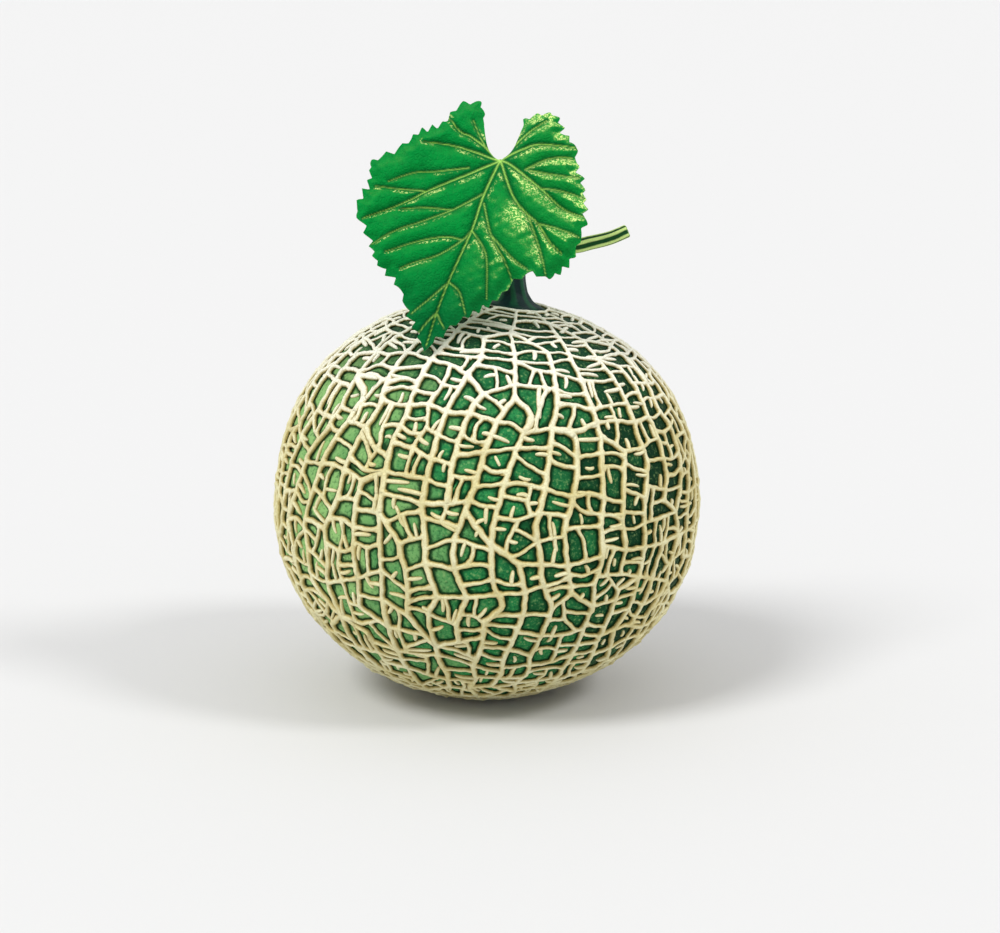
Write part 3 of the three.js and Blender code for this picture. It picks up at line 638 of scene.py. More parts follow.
def grow_net():
    net = NetPlan(NET_SEED)
    lines = grow_lines(net)
    for width in COLUMN_WIDTHS:
        lines = interleave(net, lines, width, WHOLE, WHOLE)
    interleave(net, lines, BROKEN_COLUMN, BROKEN_RUN, BROKEN_GAP)
    split_all(net, lambda cell: net.cut_across(cell, LONGEST_CELL, RUNG, SNAP))

    def area_of(cell):
        return ring_area(net.flatten(net.cells[cell])[0])

    def crack_if_large(cell, area, spread, kind, snap, tilt):
        return area_of(cell) > area * net.between(*spread) and net.crack(cell, kind, snap, tilt)

    split_all(net, lambda cell: crack_if_large(cell, COARSE_AREA, COARSE_SPREAD, RUNG, SNAP, COARSE_TILT))
    print("plain net:", len(net.cells), "cells,", len(net.kinds), "ridges")

    def band_at_stalk(cell):
        near = min(net.polar_of(point) for point in net.cells[cell]) < BAND_ANGLE
        if not near or area_of(cell) <= BAND_AREA:
            return False
        return net.cut_across(cell, BAND_HEIGHT * net.between(*BAND_SPREAD), FINE, FINE_SNAP)

    net.bend_length = FINE_BEND_LENGTH
    net.least_area = FINE_LEAST_AREA
    split_all(net, band_at_stalk)
    split_all(net, lambda cell: crack_if_large(cell, FINE_AREA, FINE_SPREAD, FINE, FINE_SNAP, FINE_TILT))
    return net


net = grow_net()
print("full net:", len(net.cells), "cells,", len(net.kinds), "ridges")

# %% [markdown]
# So far each ridge is a straight step between two points. Real ones flow: where ridges meet,
# the two that are most in line run on as one, and the others run into them. We pair them up,
# draw a smooth curve through every point, and cut it into steps of about a millimetre. Each
# sample also gets a half width and a height, because cork never grows evenly. Round the stalk
# the ridges are finer.

# %% Smooth ridges, cut into small steps
SAMPLE_STEP = 1.3
HALF_WIDTHS = (1.24, 0.98, 0.84)
CREST_HEIGHTS = (1.55, 1.3, 1.1)
SIZE_SPREAD = (0.84, 1.16)
SAMPLE_SPREAD = (-0.1, 0.1)
JOINT_SHARE = 0.35
FINER_AT_STALK = 0.34
FINER_FROM, FINEST_FROM = 0.6, 0.93
WIGGLE = 0.22
WIGGLE_PACE = 1.3
PAIRED_BEND, CROSSING_BEND = -0.2, -0.78

plan = np.array(net.points)
shake = np.random.default_rng(NET_SEED)
neighbours = {}
for a, b in net.kinds:
    neighbours.setdefault(a, []).append(b)
    neighbours.setdefault(b, []).append(a)


def heading(start, stop):
    step = plan[stop] - plan[start]
    return step / np.linalg.norm(step)


runs_on = {}
for point, around in neighbours.items():
    pairs = [
        (heading(point, a) @ heading(point, b), a, b)
        for i, a in enumerate(around) for b in around[:i]
    ]
    straight_enough = PAIRED_BEND if len(around) == 2 else CROSSING_BEND
    taken = set()
    for bend, a, b in sorted(pairs):
        if bend < straight_enough and not {a, b} & taken:
            taken |= {a, b}
            runs_on[a, point] = b
            runs_on[b, point] = a


def ridge_curve(a, b, shares):
    """Directions along the ridge from point a to point b, bent to flow into what runs on."""
    ahead = heading(a, b)
    leaving = ahead + heading(runs_on[b, a], a) if (b, a) in runs_on else ahead
    arriving = ahead + heading(b, runs_on[a, b]) if (a, b) in runs_on else ahead
    length = np.linalg.norm(plan[b] - plan[a])
    leaving = leaving * length / np.linalg.norm(leaving)
    arriving = arriving * length / np.linalg.norm(arriving)
    t = shares[:, None]
    curve = plan[a] * (2 * t ** 3 - 3 * t ** 2 + 1) + leaving * (t ** 3 - 2 * t ** 2 + t)
    curve += plan[b] * (3 * t ** 2 - 2 * t ** 3) + arriving * (t ** 3 - t ** 2)
    aside = np.cross(plan[a], ahead)
    phase = shares * length * FRUIT_RADIUS * WIGGLE_PACE + shake.uniform(0, 6.3)
    waves = np.sin(phase) * np.sin(math.pi * shares)
    curve += aside * (waves * WIGGLE / FRUIT_RADIUS)[:, None]
    return unit_rows(curve)


base = {
    edge: shake.uniform(*SIZE_SPREAD, 2) * (HALF_WIDTHS[kind], CREST_HEIGHTS[kind])
    for edge, kind in net.kinds.items()
}
at_points = np.array([
    np.mean([base[kind_key(point, other)] for other in neighbours[point]], axis=0)
    for point in range(len(plan))
])
samples = [plan]
sizes = [at_points]
chains = {}
count = len(plan)
for (a, b), own in base.items():
    steps = max(2, round(span(plan[a], plan[b]) / SAMPLE_STEP))
    shares = np.arange(1, steps) / steps
    samples.append(ridge_curve(a, b, shares))
    middle = smoothstep(np.minimum(shares, 1 - shares), 0, JOINT_SHARE)[:, None]
    shared = at_points[a] + (at_points[b] - at_points[a]) * shares[:, None]
    uneven = 1 + shake.uniform(*SAMPLE_SPREAD, (steps - 1, 2))
    sizes.append((shared * (1 - middle) + own * middle) * uneven)
    chains[a, b] = [a, *range(count, count + steps - 1), b]
    chains[b, a] = chains[a, b][::-1]
    count += steps - 1
samples = np.concatenate(samples)
finer = 1 - FINER_AT_STALK * smoothstep(samples[:, 2], FINER_FROM, FINEST_FROM)
half_widths, crest_heights = np.concatenate(sizes).T * finer
print(len(chains) // 2, "ridges cut into", count, "samples")

# %% [markdown]
# Now each cell gets a field: at every spot, how far the nearest ridge is, counted in that
# ridge's half widths. A soft minimum rounds the corners, as cork does. Rays run from the
# samples round the cell to its middle. Where the field passes three values along them lie the
# flank of the ridge, its foot, and the edge of the smooth rind.

# %% Rings inside a cell
RAY_SHARES = np.linspace(0, 0.94, 25)
CORNER_SOFTNESS = 8
FLANK, FOOT, RIM = 0.62, 1.0, 1.85
FLANK_GAP, FOOT_GAP = 0.03, 0.02
FIELD_FALL = -0.02
LEAST_FIELD = 0.01
SEEN_FROM_INSIDE = 0.6
INWARD_STEPS = np.linspace(0.4, 0.02, 80)


def ridge_field(flat, ridge_starts, widths, spots):
    """The field at some spots in a flat cell. ridge_starts tells where its ridges begin."""
    starts = np.roll(flat, 1, axis=0)
    along = flat - starts
    gap = spots[:, None] - starts
    share = np.clip((gap * along).sum(axis=2) / (along * along).sum(axis=1), 0, 1)
    off = np.linalg.norm(gap - share[..., None] * along, axis=2)
    width = np.roll(widths, 1) * (1 - share) + widths * share
    nearest = np.minimum.reduceat(np.maximum(off / width, LEAST_FIELD), ridge_starts, axis=1)
    return (nearest ** -CORNER_SOFTNESS).sum(axis=1) ** (-1 / CORNER_SOFTNESS)


def reach(field, value):
    """The share of each ray at which the field gets to a value or first falls, and the field there."""
    rows = np.arange(len(field))
    last = field.shape[1] - 1
    falls = np.diff(field, axis=1) < FIELD_FALL
    past = field >= value
    first = np.where(past.any(axis=1), past.argmax(axis=1), last)
    first = np.clip(np.where(falls.any(axis=1), falls.argmax(axis=1), last), 1, np.maximum(first, 1))
    before, after = field[rows, first - 1], field[rows, first]
    step = np.clip((value - before) / np.maximum(after - before, TOUCHING), 0, 1)
    shares = RAY_SHARES[first - 1] + step * (RAY_SHARES[first] - RAY_SHARES[first - 1])
    return shares, before + step * (after - before)


def inmost(flat, middle):
    """A spot that lies inside every side of a bent cell, or as nearly so as its bends allow."""
    back = np.roll(flat, 1, axis=0)
    along = flat - back
    inward = unit_rows(np.stack([-along[:, 1], along[:, 0]], axis=1))
    for step in INWARD_STEPS:
        depths = ((middle - back) * inward).sum(axis=1)
        if depths.min() > SEEN_FROM_INSIDE:
            break
        middle = middle + inward[depths.argmin()] * step
    return middle


def cell_rings(loop):
    """The samples round a cell, the directions of its rings, its field at the flank and its area.

    The rings are flank, foot, rim, inner ring and middle. Where the field falls before it gets
    to the foot, the ridge is pinched there, and pinched notes how far the field got.
    """
    parts = [chains[loop[i - 1], point][1:] for i, point in enumerate(loop)]
    ridge_starts = np.cumsum([0] + [len(part) for part in parts[:-1]])
    around = np.concatenate(parts)
    _, axes = net.flatten(loop)
    centre, east, north = np.array(axes)
    places = samples[around]
    scale = (FRUIT_RADIUS / (places @ centre))[:, None]
    flat = np.stack([places @ east, places @ north], axis=1) * scale
    back = np.roll(flat, 1, axis=0)
    turns = back[:, 0] * flat[:, 1] - back[:, 1] * flat[:, 0]
    area = turns.sum() / 2
    middle = inmost(flat, ((back + flat) * turns[:, None]).sum(axis=0) / (6 * area))
    rays = flat[:, None] + RAY_SHARES[:, None] * (middle - flat)[:, None]
    field = ridge_field(flat, ridge_starts, half_widths[around], rays.reshape(-1, 2))
    field = field.reshape(len(flat), len(RAY_SHARES))
    flank, flank_field = reach(field, FLANK)
    foot, foot_field = reach(field, FOOT)
    foot = np.maximum(foot, flank + FLANK_GAP)
    rim = np.maximum(reach(field, RIM)[0], foot + FOOT_GAP)
    inner = rim + 0.5 * (1 - rim)

    def lifted(shares):
        spots = flat + shares[:, None] * (middle - flat)
        return unit_rows(centre + (spots[:, :1] * east + spots[:, 1:] * north) / FRUIT_RADIUS)

    rings = [lifted(shares) for shares in (flank, foot, rim, inner)]
    pinched[around] = np.minimum(pinched[around], foot_field)
    return around, [*rings, lifted(np.ones(1))[:1]], flank_field, area


pinched = np.ones(len(samples))
rings_of = [cell_rings(loop) for loop in net.cells]
cell_areas = [area for _, _, _, area in rings_of]
print("cell areas from", round(min(cell_areas)), "to", round(max(cell_areas)), "square mm")

# %% [markdown]
# The net is one closed cage. Its crest follows the samples, its flanks go down to the feet in
# the cells on both sides, and strips and polygons underneath close it. The feet are sunk a
# little into the rind, so that no gap shows.

# %% The net
FOOT_DEPTH = -0.12
FLANK_CREST = 0.55
FULLNESS = 0.85


def dome(field):
    """The height of a ridge's round section, as a share of its crest."""
    return np.maximum(1 - field ** 2, 0) ** FULLNESS


def cells_round(point):
    """The cells round a point of the plan, counter-clockwise from outside."""
    first = neighbours[point][0]
    other, found = first, []
    while not found or other != first:
        cell = net.owner[point, other]
        found.append(cell)
        loop = net.cells[cell]
        other = loop[loop.index(point) - 1]
    return found


def build_net():
    """Places, faces and crest marks of the whole cage."""
    directions = [samples]
    heights = [crest_heights]
    crests = [np.ones(len(samples))]
    faces = []
    feet = []
    count = len(samples)
    for around, (flank, foot, *_), flank_field, _ in rings_of:
        size = len(around)
        directions += [flank, foot]
        heights += [crest_heights[around] * dome(flank_field), np.full(size, FOOT_DEPTH)]
        crests += [np.full(size, FLANK_CREST), np.zeros(size)]
        for i in range(size):
            flank_back, flank_here = count + (i - 1) % size, count + i
            faces.append((around[i - 1], around[i], flank_here, flank_back))
            faces.append((flank_back, flank_here, flank_here + size, flank_back + size))
        feet.append({sample: count + size + i for i, sample in enumerate(around)})
        count += 2 * size
    for a, b in net.kinds:
        left, right = feet[net.owner[a, b]], feet[net.owner[b, a]]
        for here, there in zip(chains[a, b], chains[a, b][1:]):
            faces.append((left[here], left[there], right[there], right[here]))
    for point in range(len(plan)):
        joint = [feet[cell][point] for cell in cells_round(point)]
        if len(joint) > 2:
            faces.append(joint[::-1])
    places = above_skin(np.concatenate(directions), np.concatenate(heights))
    return places, faces, np.concatenate(crests)


net_places, net_faces, net_crests = build_net()
ridge_net = make_mesh("ridge_net", net_places, net_faces, {"crest": net_crests})

# %% [markdown]
# Not every crack gets across its cell. Many stay spurs, which leave a ridge squarely and end
# in the rind like a broken rung, and others are short dashes that touch nothing. They give
# the net its unfinished look. Each is a little half-round rod with blunt ends, sunk in the
# rind. Steps crowd together where the rod rounds off, so that few of them are enough. The
# same rod also covers a ridge in a corner so narrow that its flank is pinched off before it
# gets down to its foot.

# %% Spurs and dashes
SPUR_AREA = 36
SPUR_SHARE = 0.72
SECOND_SPUR_AREA = 66
SECOND_SPUR_SHARE = 0.5
LEAST_SQUARENESS = 0.86
DASH_AREA = 48
DASH_SHARE = 0.45
SPUR_STEPS = 6
SPUR_ACROSS = ((-1, None), (-0.8, 0.55), (-0.4, 0.9), (0, 1), (0.4, 0.9), (0.8, 0.55), (1, None))
SPUR_DEPTH = FOOT_DEPTH - 0.05
STARTS_TRIED = 5
SPUR_LENGTHS = (0.85, 1.5)
SPUR_WIDTHS = (0.68, 0.9)
SPUR_HEIGHT = 0.85
SPUR_BEND = 0.35
SPUR_BLUNTNESS = 0.84
DASH_LENGTHS = (1.2, 2.0)
DASH_WIDTHS = (0.6, 0.76)
DASH_HEIGHT = 0.85
DASH_ASKEW = 0.3
DASH_SHIFT = 0.6
PINCHED_BELOW = 0.9
COVER = 1.04


def half_round(line, side, widths, heights):
    """Directions, heights and crest marks of one closed rod along a line on the rind."""
    rows = []
    for across, level in SPUR_ACROSS:
        spots = line + side * (across * widths / FRUIT_RADIUS)[:, None]
        lifts = np.full(len(line), SPUR_DEPTH) if level is None else level * heights
        rows.append((spots, lifts, np.full(len(line), level or 0.0)))
    spots, lifts, marks = (np.concatenate(column) for column in zip(*rows))
    return unit_rows(spots), lifts, marks


def cover(chain):
    """A rod that lies along a whole ridge, a little wider and higher than the ridge."""
    stops = np.linspace(0, len(chain) - 1, SPUR_STEPS + 1)
    at = np.arange(len(chain))
    line = np.stack([np.interp(stops, at, axis) for axis in samples[chain].T], axis=1)
    side = unit_rows(np.cross(line, np.gradient(line, axis=0)))
    widths = COVER * np.interp(stops, at, half_widths[chain])
    heights = COVER * np.interp(stops, at, crest_heights[chain])
    return half_round(line, side, widths, heights)


def spur(start, tip, loose, half_width, height):
    """Directions, heights and crest marks of one closed rod. A loose one is blunt at both ends."""
    turns = np.linspace(0, 1, SPUR_STEPS + 1)
    shares = (1 - np.cos(math.pi * turns)) / 2 if loose else np.sin(math.pi / 2 * turns)
    to_end = np.abs(2 * shares - 1) if loose else shares
    taper = np.sqrt(1 - SPUR_BLUNTNESS * to_end ** 6)
    line = start + (tip - start) * shares[:, None]
    side = np.cross(start, tip - start)
    side /= np.linalg.norm(side)
    line += side * (np.sin(shares * 4) * shake.uniform(-SPUR_BEND, SPUR_BEND) / FRUIT_RADIUS)[:, None]
    return half_round(line, side, half_width * taper, height * taper)


def spur_faces(first):
    """The faces of a rod whose places start at number first."""
    rows, steps = len(SPUR_ACROSS), SPUR_STEPS + 1

    def at(row, step):
        return first + (row % rows) * steps + step

    faces = [
        (at(row, step), at(row + 1, step), at(row + 1, step + 1), at(row, step + 1))
        for row in range(rows) for step in range(SPUR_STEPS)
    ]
    faces.append([at(row, 0) for row in range(rows)][::-1])
    faces.append([at(row, SPUR_STEPS) for row in range(rows)])
    return faces


def spur_in(around, middle, side):
    """A spur that leaves one of the ridges on a side of a cell squarely, and stops inside it.

    Its length is a share of the way to the middle of the cell.
    """
    best, best_squareness = [], LEAST_SQUARENESS
    half = len(around) // 2
    for i in side * half + shake.integers(half, size=STARTS_TRIED):
        start = samples[around[i]]
        inward = np.cross(start, samples[around[(i + 1) % len(around)]] - samples[around[i - 1]])
        inward /= np.linalg.norm(inward)
        depth = (middle - start) @ inward
        squareness = depth / np.linalg.norm(middle - start)
        if squareness > best_squareness and around[i] >= len(plan):
            best, best_squareness = [(start, inward * depth, crest_heights[around[i]])], squareness
    length, half_width = shake.uniform(*zip(SPUR_LENGTHS, SPUR_WIDTHS))
    return [
        spur(start, start + to_middle * length, False, half_width, SPUR_HEIGHT * crest)
        for start, to_middle, crest in best
    ]


def dash_in(middle):
    """A loose dash near the middle of a cell, upright or level."""
    askew = shake.normal(size=3) * DASH_ASKEW
    up = np.array([0, 0, 1])
    bearing = askew + (up if shake.random() < 0.5 else np.cross(middle, up))
    along = np.cross(np.cross(middle, bearing), middle)
    along *= shake.uniform(*DASH_LENGTHS) / (FRUIT_RADIUS * np.linalg.norm(along))
    middle = middle + np.cross(middle, along) * shake.uniform(-DASH_SHIFT, DASH_SHIFT)
    return spur(middle - along, middle + along, True, shake.uniform(*DASH_WIDTHS), DASH_HEIGHT)


rods = []
for cell, (around, rings, _, area) in enumerate(rings_of):
    middle = rings[-1][0]
    first, second, third = shake.random(3)
    if cell < END_CELLS:
        continue
    if area > SPUR_AREA and first < SPUR_SHARE:
        rods += spur_in(around, middle, 0)
        if area > SECOND_SPUR_AREA and second < SECOND_SPUR_SHARE:
            rods += spur_in(around, middle, 1)
    elif area > DASH_AREA and third < DASH_SHARE:
        rods.append(dash_in(middle))
print(len(rods), "spurs and dashes")
pinched_ridges = [edge for edge in net.kinds if pinched[chains[edge][1:-1]].min() < PINCHED_BELOW]
rods += [cover(chains[edge]) for edge in pinched_ridges]
print(len(pinched_ridges), "covered ridges")
rod_size = len(SPUR_ACROSS) * (SPUR_STEPS + 1)
rod_directions, rod_heights, rod_crests = (np.concatenate(column) for column in zip(*rods))
rod_places = above_skin(rod_directions, rod_heights)
rod_faces = [face for k in range(len(rods)) for face in spur_faces(k * rod_size)]
ridge_spurs = make_mesh("ridge_spurs", rod_places, rod_faces, {"crest": rod_crests})

# %% [markdown]
# The rind fills the cells from below. Under a ridge it dips, so that it never shows through.
# Beside the foot it comes up, and it swells a little to the middle of the cell. It needs only
# every second sample, and two numbers for its material: how near the ridge is, and a tone of
# its own for each cell.

# %% The rind
UNDER_RIDGE = -0.45
UNDER_FOOT = -0.03
RIM_LIFT = 0.06
SWELL = 0.018
MOST_SWELL = 0.18
INNER_SHARE = 0.75
RIM_NEARNESS = 0.25


def build_rind():
    """Places, faces and marks. Each cell adds its foot, rim and inner rings, then its middle."""
    kept = np.zeros(len(samples), dtype=bool)
    kept[:len(plan)] = True
    for a, b in net.kinds:
        kept[chains[a, b][2:-1:2]] = True
    under = np.cumsum(kept) - 1
    directions = [samples[kept]]
    count = int(kept.sum())
    heights = [np.full(count, UNDER_RIDGE)]
    nearness = [np.ones(count)]
    tones = [np.full(count, 0.5)]
    faces = []
    for around, (_, foot, rim, inner, middle), _, area in rings_of:
        at = np.flatnonzero(kept[around])
        size = len(at)
        swell = min(MOST_SWELL, SWELL * math.sqrt(area))
        lifts = (UNDER_FOOT, RIM_LIFT, RIM_LIFT + INNER_SHARE * swell)
        directions += [foot[at], rim[at], inner[at], middle]
        heights += [*(np.full(size, lift) for lift in lifts), [RIM_LIFT + swell]]
        nearness += [np.ones(size), np.full(size, RIM_NEARNESS), np.zeros(size + 1)]
        tones.append(np.full(3 * size + 1, shake.random()))
        foots, rims, inners, centre = (count + row * size for row in range(4))
        for i in range(size):
            back = (i - 1) % size
            faces.append((under[around[at[back]]], under[around[at[i]]], foots + i, foots + back))
            faces.append((foots + back, foots + i, rims + i, rims + back))
            faces.append((rims + back, rims + i, inners + i, inners + back))
            faces.append((inners + back, inners + i, centre))
        count += 3 * size + 1
    places = above_skin(np.concatenate(directions), np.concatenate(heights))
    return places, faces, {"near_ridge": np.concatenate(nearness), "tone": np.concatenate(tones)}


rind = make_mesh("rind", *build_rind())

# %% [markdown]
# The stalk, the vine across it and the flared foot grew as one, so they have no seams. We lay
# round rods along the same routes as the plain stem, turn a flared foot, and let the Remesh
# modifier melt the three into one skin. The ribs come after that, because remeshing would
# soften them: each place is pushed out or in by its angle round the nearest rod.

# %% Rods along a route
ROD_SIDES = 20
BEND_STEPS = 24
STALK_ROUTE = [(10, 0, 75), (9.2, 0, 80), (9, 0, 86), (9, 0, 91.5)]
VINE_ROUTE = [
    (-12, 4, 88.5), (-3, 2, 90.5), (9, 0, 91.5), (20, 0, 91.7), (30.7, 0, 92.2),
    (35.8, 0, 93.3), (42.7, 0, 95), (48.9, 0, 97.6),
]


def step_lengths(line):
    return np.linalg.norm(np.diff(line, axis=0), axis=1)


def smooth_route(route, steps):
    """Places at even steps along a smooth curve through a route."""
    route = np.array(route, dtype=float)
    padded = np.vstack([2 * route[0] - route[1], route, 2 * route[-1] - route[-2]])
    curve = []
    for before, a, b, after in zip(padded, padded[1:], padded[2:], padded[3:]):
        for t in np.linspace(0, 1, BEND_STEPS, endpoint=False):
            curve.append(0.5 * (
                2 * a + (b - before) * t + (2 * before - 5 * a + 4 * b - after) * t ** 2
                + (3 * a - before - 3 * b + after) * t ** 3
            ))
    curve = np.array([*curve, route[-1]])
    along = np.concatenate([[0], np.cumsum(step_lengths(curve))])
    even = np.linspace(0, along[-1], steps + 1)
    return np.stack([np.interp(even, along, axis) for axis in curve.T], axis=1)


def route_frames(line):
    """Forward, side and up directions along a line, which don't twist round it."""
    forward = unit_rows(np.gradient(line, axis=0))
    side = np.cross(forward[0], (0.3, 1, 0.2))
    sides = []
    for ahead in forward:
        side = side - (side @ ahead) * ahead
        side = side / np.linalg.norm(side)
        sides.append(side)
    sides = np.array(sides)
    return forward, sides, np.cross(forward, sides)


def all_round(sides):
    """Even angles round a ring."""
    return np.linspace(0, 2 * math.pi, sides, endpoint=False)


def tube_faces(rings, sides):
    """The faces of a closed tube of rings, with flat ends."""
    faces = []
    for ring in range(rings - 1):
        for i in range(sides):
            here, beside = ring * sides + i, ring * sides + (i + 1) % sides
            faces.append((here, beside, beside + sides, here + sides))
    last = (rings - 1) * sides
    return [*faces, list(range(sides))[::-1], list(range(last, last + sides))]


def rod(line, radii, sides=ROD_SIDES):
    """Places and faces of a closed round rod."""
    _, side_ways, ups = route_frames(line)
    angles = all_round(sides)[:, None]
    outward = np.cos(angles) * side_ways[:, None] + np.sin(angles) * ups[:, None]
    rings = line[:, None] + radii[:, None, None] * outward
    return rings.reshape(-1, 3), tube_faces(len(line), sides)


def joined(parts):
    """Several lists of places and faces as one."""
    places, faces = [], []
    for own_places, own_faces in parts:
        first = sum(len(part) for part in places)
        places.append(own_places)
        faces += [[first + i for i in face] for face in own_faces]
    return np.concatenate(places), faces


stalk_line = smooth_route(STALK_ROUTE, 30)
vine_line = smooth_route(VINE_ROUTE, 120)
print("the vine is", round(step_lengths(vine_line).sum(), 1), "mm long")

# %% [markdown]
# The foot is a lathe shape in the leaning frame of the stalk end: thin at its rim, where it
# lies on the rind, and swept up into the stalk.

# %% The stem
STALK_RADIUS = 4.5
FOOT_RADIUS = 9.8
FOOT_SIDES = 40
LOBED_FROM = 5
FOOT_OUTLINE = [
    (0.05, -0.4), (FOOT_RADIUS - 0.2, -0.9), (FOOT_RADIUS, 0.05), (FOOT_RADIUS - 0.9, 0.65),
    (7.5, 1.15), (6.1, 2.0), (5.1, 3.2), (4.2, 4.8), (0.05, 4.8),
]
VINE_RADIUS = 2.8
VINE_CUT_RADIUS = 2.2
VINE_EDGE = 5.4
VINE_BLEND, STALK_BLEND = 1.6, 3
KNOT_X = 9
KNOT_SWELL = 0.35
KNOT_LENGTH = 5
STEM_VOXEL = 0.42
RELAX_SHARE = 0.5
RELAX_ROUNDS = 7
VINE_RIBS = 5
VINE_RIB_TWIST = 2.5
STALK_RIBS = 7
RIB_DEPTH = 0.34
RIB_LEVEL = 0.6
PLACES_AT_ONCE = 4000


def flared_foot():
    """A lathe shape with shallow lobes. The outline's heights count from the top of the skin."""
    angles = all_round(FOOT_SIDES)
    lobes = 1 + 0.05 * np.cos(5 * angles + 0.6) + 0.03 * np.cos(3 * angles)
    places = []
    for radius, height in FOOT_OUTLINE:
        flat = radius * (lobes if radius > LOBED_FROM else np.ones(FOOT_SIDES))
        level = np.full(FOOT_SIDES, UPPER_HEIGHT + height)
        places.append(np.stack([flat * np.cos(angles), flat * np.sin(angles), level], axis=1))
    return leaned(np.concatenate(places), LEAN), tube_faces(len(FOOT_OUTLINE), FOOT_SIDES)


def melted(name, places, faces, voxel):
    """The outer skin of overlapping closed shapes, remeshed and smoothed into one."""
    rough = make_mesh(name + "_rough", places, faces)
    remesh = rough.modifiers.new("melt", "REMESH")
    remesh.mode = "VOXEL"
    remesh.voxel_size = voxel * MM
    relax = rough.modifiers.new("relax", "SMOOTH")
    relax.factor = RELAX_SHARE
    relax.iterations = RELAX_ROUNDS
    graph = bpy.context.evaluated_depsgraph_get()
    result = rough.evaluated_get(graph).to_mesh()
    spots = np.empty(len(result.vertices) * 3)
    result.vertices.foreach_get("co", spots)
    kept = [list(face.vertices) for face in result.polygons]
    rough.to_mesh_clear()
    bpy.data.objects.remove(rough)
    return spots.reshape(-1, 3) / MM - MIDDLE, kept


def round_line(line, places):
    """For each place: its share along a line, its distance and angle, the way out, and how far past."""
    forward, sides, ups = route_frames(line)
    nearest = np.empty(len(places), dtype=int)
    for start in range(0, len(places), PLACES_AT_ONCE):
        some = slice(start, start + PLACES_AT_ONCE)
        gap = places[some, None] - line
        nearest[some] = (gap * gap).sum(axis=2).argmin(axis=1)
    off = places - line[nearest]
    beyond = (off * forward[nearest]).sum(axis=1)
    off -= beyond[:, None] * forward[nearest]
    distance = np.linalg.norm(off, axis=1)
    angle = np.arctan2((off * ups[nearest]).sum(axis=1), (off * sides[nearest]).sum(axis=1))
    return nearest / (len(line) - 1), distance, angle, unit_rows(off), beyond


def build_stem():
    vine_shares = np.linspace(0, 1, len(vine_line))
    vine_radii = VINE_RADIUS + (VINE_CUT_RADIUS - VINE_RADIUS) * smoothstep(vine_shares, 0.4, 1)
    knot = 1 + KNOT_SWELL * np.exp(-((vine_line[:, 0] - KNOT_X) / KNOT_LENGTH) ** 2)
    stalk_radii = np.full(len(stalk_line), STALK_RADIUS)
    parts = [flared_foot(), rod(stalk_line, stalk_radii), rod(vine_line, vine_radii * knot)]
    places, faces = melted("stem", *joined(parts), STEM_VOXEL)
    share, distance, angle, out, beyond = round_line(vine_line, places)
    on_vine = smoothstep(VINE_EDGE - distance, 0, VINE_BLEND)
    rib = 0.5 + 0.5 * np.cos(VINE_RIBS * angle + VINE_RIB_TWIST * share)
    _, stalk_distance, stalk_angle, stalk_out, _ = round_line(stalk_line, places)
    stalk_rib = 0.5 + 0.5 * np.cos(STALK_RIBS * stalk_angle)
    on_stalk = (1 - on_vine) * smoothstep(FOOT_RADIUS - stalk_distance, 0, STALK_BLEND)
    end = np.maximum(share >= 1, share <= 0) * smoothstep(np.abs(beyond), 0.02, 0.2)
    vine_push = on_vine * (rib - RIB_LEVEL) * RIB_DEPTH * 2 * (1 - end)
    stalk_push = on_stalk * (stalk_rib - RIB_LEVEL) * RIB_DEPTH
    places = places + out * vine_push[:, None] + stalk_out * stalk_push[:, None]
    marks = {
        "rib": rib * on_vine + stalk_rib * on_stalk + 0.5 * (1 - on_vine - on_stalk),
        "cut": end,
        "cut_radius": distance / VINE_CUT_RADIUS,
        "foot": 1 - on_vine,
    }
    return places, faces, marks


stem_piece = make_mesh("stem_piece", *build_stem(), sharp_deg=50)

# %% [markdown]
# A melon leaf is a thin toothed blade that hangs from its petiole. Its veins are sunk on the
# upper face and the green swells up between them, which is most of what the eye reads. The
# veins are polylines on the flat plan of the leaf, in millimetres to the right of its joint
# and below it. The distance to the nearest vein drives the grooves, the swelling and, later,
# the colour.

# %% The leaf's outline and veins
LEAF_JOINT = np.array([4.9, -16.7, 123.3])
LEAF_PITCH = math.radians(24.7)
LEAF_TIP = (-25, 66.5)
LEAF_STEP = 0.43
TOOTH_SPACING = 4.6
TOOTH_DEPTH = 2.3
TOOTH_LEAN = 0.7
TOOTH_LEVEL = 0.6
TOOTHLESS = 22
EDGE_STEPS = 800
VEIN_STEPS = 400
VEIN_STEP = 1.2
FAR_OFF = 99.0
LEAF_OUTLINE = [
    (0, 0), (4, -3.5), (7.5, -12), (9, -16), (16, -17), (20, -14.5), (21.7, -9), (25.3, -4.5), (25.8, 3),
    (27.6, 9), (28.2, 22), (25.8, 30), (23, 36.5), (16.5, 41.5), (9, 40.5), (4, 43.5), (-2, 49.5),
    (-11.5, 55), (-18, 60), LEAF_TIP, (-27, 61.5), (-30, 55), (-33, 46), (-36, 41.5), (-41, 36),
    (-42.8, 30), (-45.3, 24), (-47.7, 19), (-46.4, 14), (-44, 9.5), (-43.2, 5.4), (-43, 1.4), (-37, -1.8),
    (-30.8, -6), (-26.8, -10), (-19.2, -13.4), (-16, -17.8), (-12.5, -21), (-7.5, -21.3), (-5.5, -18),
    (-5.5, -13.5), (-4.5, -5.5), (-2.5, -2), (0, 0),
]
MIDRIB = [(0, 0), (-5.5, 12.5), (-9.5, 25), (-17, 42.5), (-21, 53.5), (-24.5, 65)]
